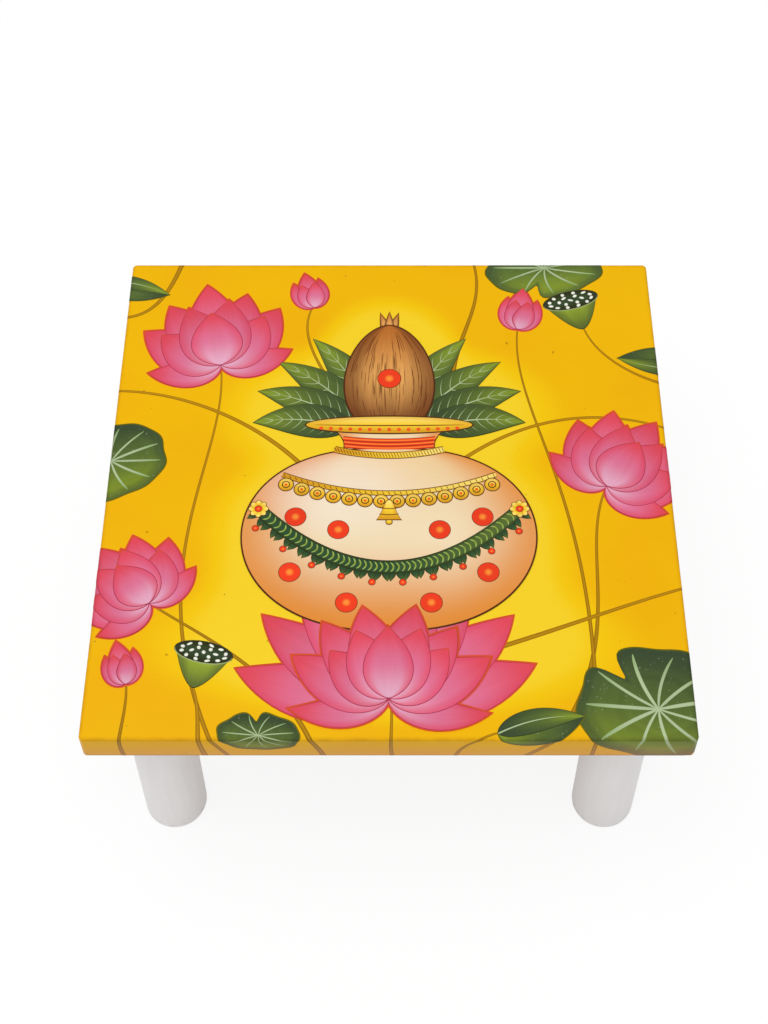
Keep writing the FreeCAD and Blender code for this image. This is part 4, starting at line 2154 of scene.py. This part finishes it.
@dataclass(frozen=True)
class Kalash:
    """A festive water pot, upright on the middle line: its collar, and its belly over that."""

    foot_y: float = -92.0
    belly_top_y: float = 20.0
    belly_half: float = 78.0
    collar_half: float = 33.0
    collar_y: float = 8.0
    rim_y: float = 36.0
    line: float = 0.9  # how far its brown outline stands out
    level: float = 17.0

    def draw(self, painting: Painting) -> None:
        """Draws the two walls.

        Args:
            painting: What it is drawn on.
        """
        spans = (
            (self.collar_y, self.rim_y, self.collar_half, Profile.COLLAR),
            (self.foot_y, self.belly_top_y, self.belly_half, Profile.BELLY),
        )
        for number, (low, high, half, profile) in enumerate(spans):
            wall = Blade((0.0, low), (0.0, high), half, profile, rows=61, columns=15)
            painting.outline(wall, self.level + number, Coat.INK, self.line, Coat.POT)


# The flower that the pot stands on, behind it and in front of it
SEAT_BACK = (PetalRow(8, 158.0, 1.0, 0.2, 0.14, 1.0),)
SEAT_FRONT = (
    PetalRow(2, 196.0, 0.98, 0.16, 0.2, 1.0),
    PetalRow(6, 132.0, 1.0, 0.26, 0.12, 1.05),
    PetalRow(5, 96.0, 0.78, 0.24, 0.1, 1.0),
)
BUD = (
    PetalRow(2, 44.0, 0.9, 0.2, 0.2),
    PetalRow(1, 0.0, 1.0, 0.26),
    PetalRow(2, 22.0, 0.82, 0.2, 0.12),
)

FIGURE_GLOW = (
    Oval(0.0, -34.0, 74.0, 54.0, 26.0),
    Oval(0.0, -80.0, 72.0, 44.0, 26.0),
    Oval(0.0, 44.0, 64.0, 36.0, 26.0),
    Oval(0.0, 78.0, 28.0, 32.0, 24.0),
    Oval(0.0, -100.0, 76.0, 26.0, 24.0),
)

NECKLACE = Swag(58.0, 3.0, 12.0)

# The turns of red thread about the pot's neck, each with its level
THREADS = (
    (Swag(24.6, 22.0, 1.6), 18.15),
    (Swag(25.0, 24.5, 1.6), 18.25),
    (Swag(25.4, 27.0, 1.6), 18.35),
)

STEM_PATHS = (
    ((-96, 78), (-86, 10), (-142, -60), (-74, -180)),
    ((118, -4), (96, -50), (132, -110), (58, -180)),
    ((-124, -76), (-96, -96), (-40, -120), (-30, -180)),
    ((74, 104), (66, 40), (118, -10), (100, -180)),
    ((-44, 122), (-56, 96), (-34, 70), (-20, 40)),
    ((-98, -124), (-92, -140), (-96, -160), (-88, -180)),
    ((112, 106), (118, 80), (150, 60), (180, 60)),
    ((0, -124), (4, -140), (-2, -160), (4, -180)),
    ((-180, 118), (-130, 96), (-128, 140), (-116, 180)),
    ((-180, 56), (-130, 70), (-70, 40), (-40, 0)),
    ((180, 20), (120, 60), (60, 40), (16, -10)),
    ((40, 180), (66, 130), (40, 110), (36, 70)),
    ((180, -60), (130, -72), (90, -92), (24, -112)),
    ((-132, -120), (-128, -140), (-138, -160), (-128, -180)),
    ((58, -148), (40, -150), (30, -165), (34, -180)),
)

# The whole design, drawn in this order. What the pot wears lies over it by level.
MOTIFS: tuple[Motif, ...] = (
    *(Stem(path) for path in STEM_PATHS),
    LotusPad(-152, 12, 30, 24, 20, notch=190.0),
    LotusPad(134, -136, 40, 34, -12, notch=140.0),
    LotusPad(92, 150, 34, 22, 8, notch=250.0),
    LotusPad(-64, -150, 20, 12, -6, notch=100.0),
    SeedPod(-98, -124, 20, 12),
    SeedPod(112, 104, 22, -16),
    Lotus(-96, 78, 58, -12),
    Lotus(118, -4, 52, 34),
    Lotus(-124, -76, 44, -42),
    Lotus(74, 104, 30, 10, rows=BUD),
    Lotus(-44, 120, 26, -14, rows=BUD),
    Lotus(-132, -122, 24, -16, rows=BUD),
    FoldedPad(178, 76, 48, 9, -82),
    FoldedPad(-172, 140, 44, 8, 104),
    FoldedPad(54, -149, 44, 10, 78),
    Lotus(0, -128, 78, rows=SEAT_BACK),
    LeafFan(y=34.0),
    Coconut(foot_y=32.0),
    Kalash(),
    PotRim(y=36.0, half=46.0, level=19.0),
    *(Chain(swag, 1.05, level, Coat.DOTS, line=0.3, rows=24, twists=0) for swag, level in THREADS),
    Chain(Swag(30.0, 19.5, 4.0), half_width=1.8, level=21.0),
    Chain(NECKLACE, half_width=1.3, level=21.15),
    Medallions(NECKLACE, level=22.4),
    Bell(y=-13.5, size=6.4, level=24.5),
    LeafGarland(Swag(70.0, -19.0, 36.0), level=21.0),
    Spots(level=21.0),
    Lotus(0, -130, 52, level=22.6, rows=SEAT_FRONT),
)


@dataclass(frozen=True)
class TopBoard:
    """The painted board: its ground's finish, and the design drawn over its face and edges."""

    node: str = "top_board"

    def build(self) -> None:
        """Dresses the board and draws every motif on it."""
        low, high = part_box(self.node)
        skin = Skin(high.x / MM, high.z / MM, (high.z - low.z) / MM)
        edge = BoardEdge(high.z, low.z, high.x, skin.edge_radius * MM)
        dress(self.node, Ground(edge, FIGURE_GLOW).build())
        painting = Painting(skin)
        for motif in MOTIFS:
            motif.draw(painting)
        painting.finish(edge)


@dataclass(frozen=True)
class LegSet:
    """The four legs with their hanger bolts, threaded inserts and felt pads."""

    corners: tuple[str, ...] = ("front_left", "front_right", "back_left", "back_right")
    steel: MetalFinish = MetalFinish("bolt_steel", P.ZINC, P.ZINC_BLUE, 0.36, 0.0002)
    brass: MetalFinish = MetalFinish("insert_brass", P.BRASS, P.BRASS_DARK, 0.32, 0.0003)
    felt: FeltFinish = FeltFinish()

    def build(self) -> None:
        """Dresses every leg's four pieces."""
        low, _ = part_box(f"{self.corners[0]}_leg")
        finishes = {
            "leg": LegPaint(low.z).build(),
            "hanger_bolt": self.steel.build(),
            "threaded_insert": self.brass.build(),
            "foot_pad": self.felt.build(),
        }
        for corner in self.corners:
            for part, material in finishes.items():
                dress(f"{corner}_{part}", material)


def dress(node: str, material: Material) -> None:
    """Gives a CAD node a finish and logs it.

    Args:
        node: The node's name.
        material: Its finish.
    """
    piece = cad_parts[node]
    piece.data.materials.clear()
    piece.data.materials.append(material)
    LOG.info("%s: %s", node, material.name)


@dataclass(frozen=True)
class Studio:
    """A pale floor, soft light from all round, a large lamp above, and the camera."""

    WHITE = (1.0, 1.0, 1.0, 1.0)
    elevation: float = 51.925  # degrees above the horizon
    distance: float = 1.0415  # metres from the point looked at
    target: Place = (0.00284, 0.10315, 0.147)
    focal_px: float = 1801.55
    image_px: Point = (768.0, 1024.0)
    axis_px: Point = (394.35, 330.0)  # the pixel that the camera's axis meets
    sensor: float = 36.0  # mm along the image's long side
    floor_half: float = 6.0  # metres
    sky_strength: float = 0.54
    sky_seen: float = 0.96  # what the camera sees of it, as pale as the far floor
    lamp_power: float = 35.0  # watts
    lamp_size: float = 1.8
    lamp_place: Place = (-0.35, -0.3, 2.6)
    lamp_target: Place = (0.0, 0.0, 0.1)
    floor_roughness: float = 0.9
    floor_bounce: float = 0.86  # how much light the floor gives back to the table
    floor_seen: float = 0.13  # how much of that light the camera sees, shadow and all
    floor_lift: float = 0.88  # what the camera sees on top of it

    def build(self) -> None:
        """Sets up the light, the floor, the view and the camera."""
        scene = bpy.context.scene
        scene.view_settings.view_transform = "Standard"
        self.light_sky()
        self.light_lamp()
        self.lay_floor()
        scene.camera = self.placed_camera()

    def light_sky(self) -> None:
        """A plain sky, which the camera, gloss and glass see paler than it shines."""
        world = bpy.data.worlds.new("studio")
        bpy.context.scene.world = world
        world.use_nodes = True
        world.node_tree.nodes.clear()
        graph = Graph(world.node_tree)
        light, seen = (
            graph.add("ShaderNodeBackground", {"Color": self.WHITE, "Strength": strength})
            for strength in (self.sky_strength, self.sky_seen)
        )
        values = {0: self.seen(graph), 1: light.outputs[0], 2: seen.outputs[0]}
        mixed = graph.add("ShaderNodeMixShader", values)
        graph.add("ShaderNodeOutputWorld", {"Surface": mixed.outputs[0]})

    @staticmethod
    def seen(graph: Graph) -> Socket:
        """What the camera sees, straight or by gloss and glass.

        Args:
            graph: The graph of a material or of the world.

        Returns:
            1 for such rays, and 0 for the light that falls on things.
        """
        path = graph.add("ShaderNodeLightPath").outputs
        glossy = graph.calc("MAXIMUM", path["Is Glossy Ray"], path["Is Transmission Ray"])
        return graph.calc("MAXIMUM", path["Is Camera Ray"], glossy)

    def light_lamp(self) -> None:
        """One large square lamp above and in front of the table."""
        lamp = bpy.data.lights.new("soft_lamp", "AREA")
        lamp.energy = self.lamp_power
        lamp.size = self.lamp_size
        lamp.shape = "SQUARE"
        holder = bpy.data.objects.new("soft_lamp", lamp)
        holder.location = self.lamp_place
        aim = Vector(self.lamp_target) - Vector(self.lamp_place)
        holder.rotation_mode = "QUATERNION"
        holder.rotation_quaternion = aim.to_track_quat("-Z", "Y")
        bpy.context.scene.collection.objects.link(holder)

    def lay_floor(self) -> None:
        """A flat pale floor. The camera sees its white lifted a little, shadow and all."""
        signs = ((-1, -1), (1, -1), (1, 1), (-1, 1))
        corners = [(x * self.floor_half, y * self.floor_half, 0.0) for x, y in signs]
        mesh = bpy.data.meshes.new("floor")
        mesh.from_pydata(corners, [], [(0, 1, 2, 3)])
        floor = bpy.data.objects.new("floor", mesh)
        bpy.context.scene.collection.objects.link(floor)
        graph = Shading("studio_floor")
        seen = self.seen(graph)
        bounce, pale = ((*[share] * 3, 1.0) for share in (self.floor_bounce, self.floor_seen))
        values = {
            "Base Color": graph.blend(seen, bounce, pale),
            "Roughness": self.floor_roughness,
            "Specular IOR Level": 0.0,
            "Emission Color": self.WHITE,
            "Emission Strength": graph.times(seen, self.floor_lift),
        }
        graph.feed(graph.shader, values)
        mesh.materials.append(graph.material)

    def placed_camera(self) -> bpy.types.Object:
        """The camera in front of the table, shifted so that its axis meets its own pixel.

        Returns:
            The camera's object.
        """
        lens = bpy.data.cameras.new("camera")
        lens.sensor_width = self.sensor
        width, height = self.image_px
        column, row = self.axis_px
        lens.lens = self.focal_px / height * self.sensor
        lens.shift_x = (width / 2 - column) / height
        lens.shift_y = (row - height / 2) / height
        tilt = math.radians(self.elevation)
        back = Vector((0.0, -math.cos(tilt), math.sin(tilt)))
        camera = bpy.data.objects.new("camera", lens)
        camera.location = Vector(self.target) + back * self.distance
        camera.rotation_mode = "QUATERNION"
        camera.rotation_quaternion = (-back).to_track_quat("-Z", "Y")
        bpy.context.scene.collection.objects.link(camera)
        return camera


def main() -> None:
    """Builds the studio and dresses the table."""
    logging.basicConfig(level=logging.INFO, format="%(name)s %(message)s")
    Studio().build()
    LegSet().build()
    TopBoard().build()


if __name__ == "__main__":
    main()
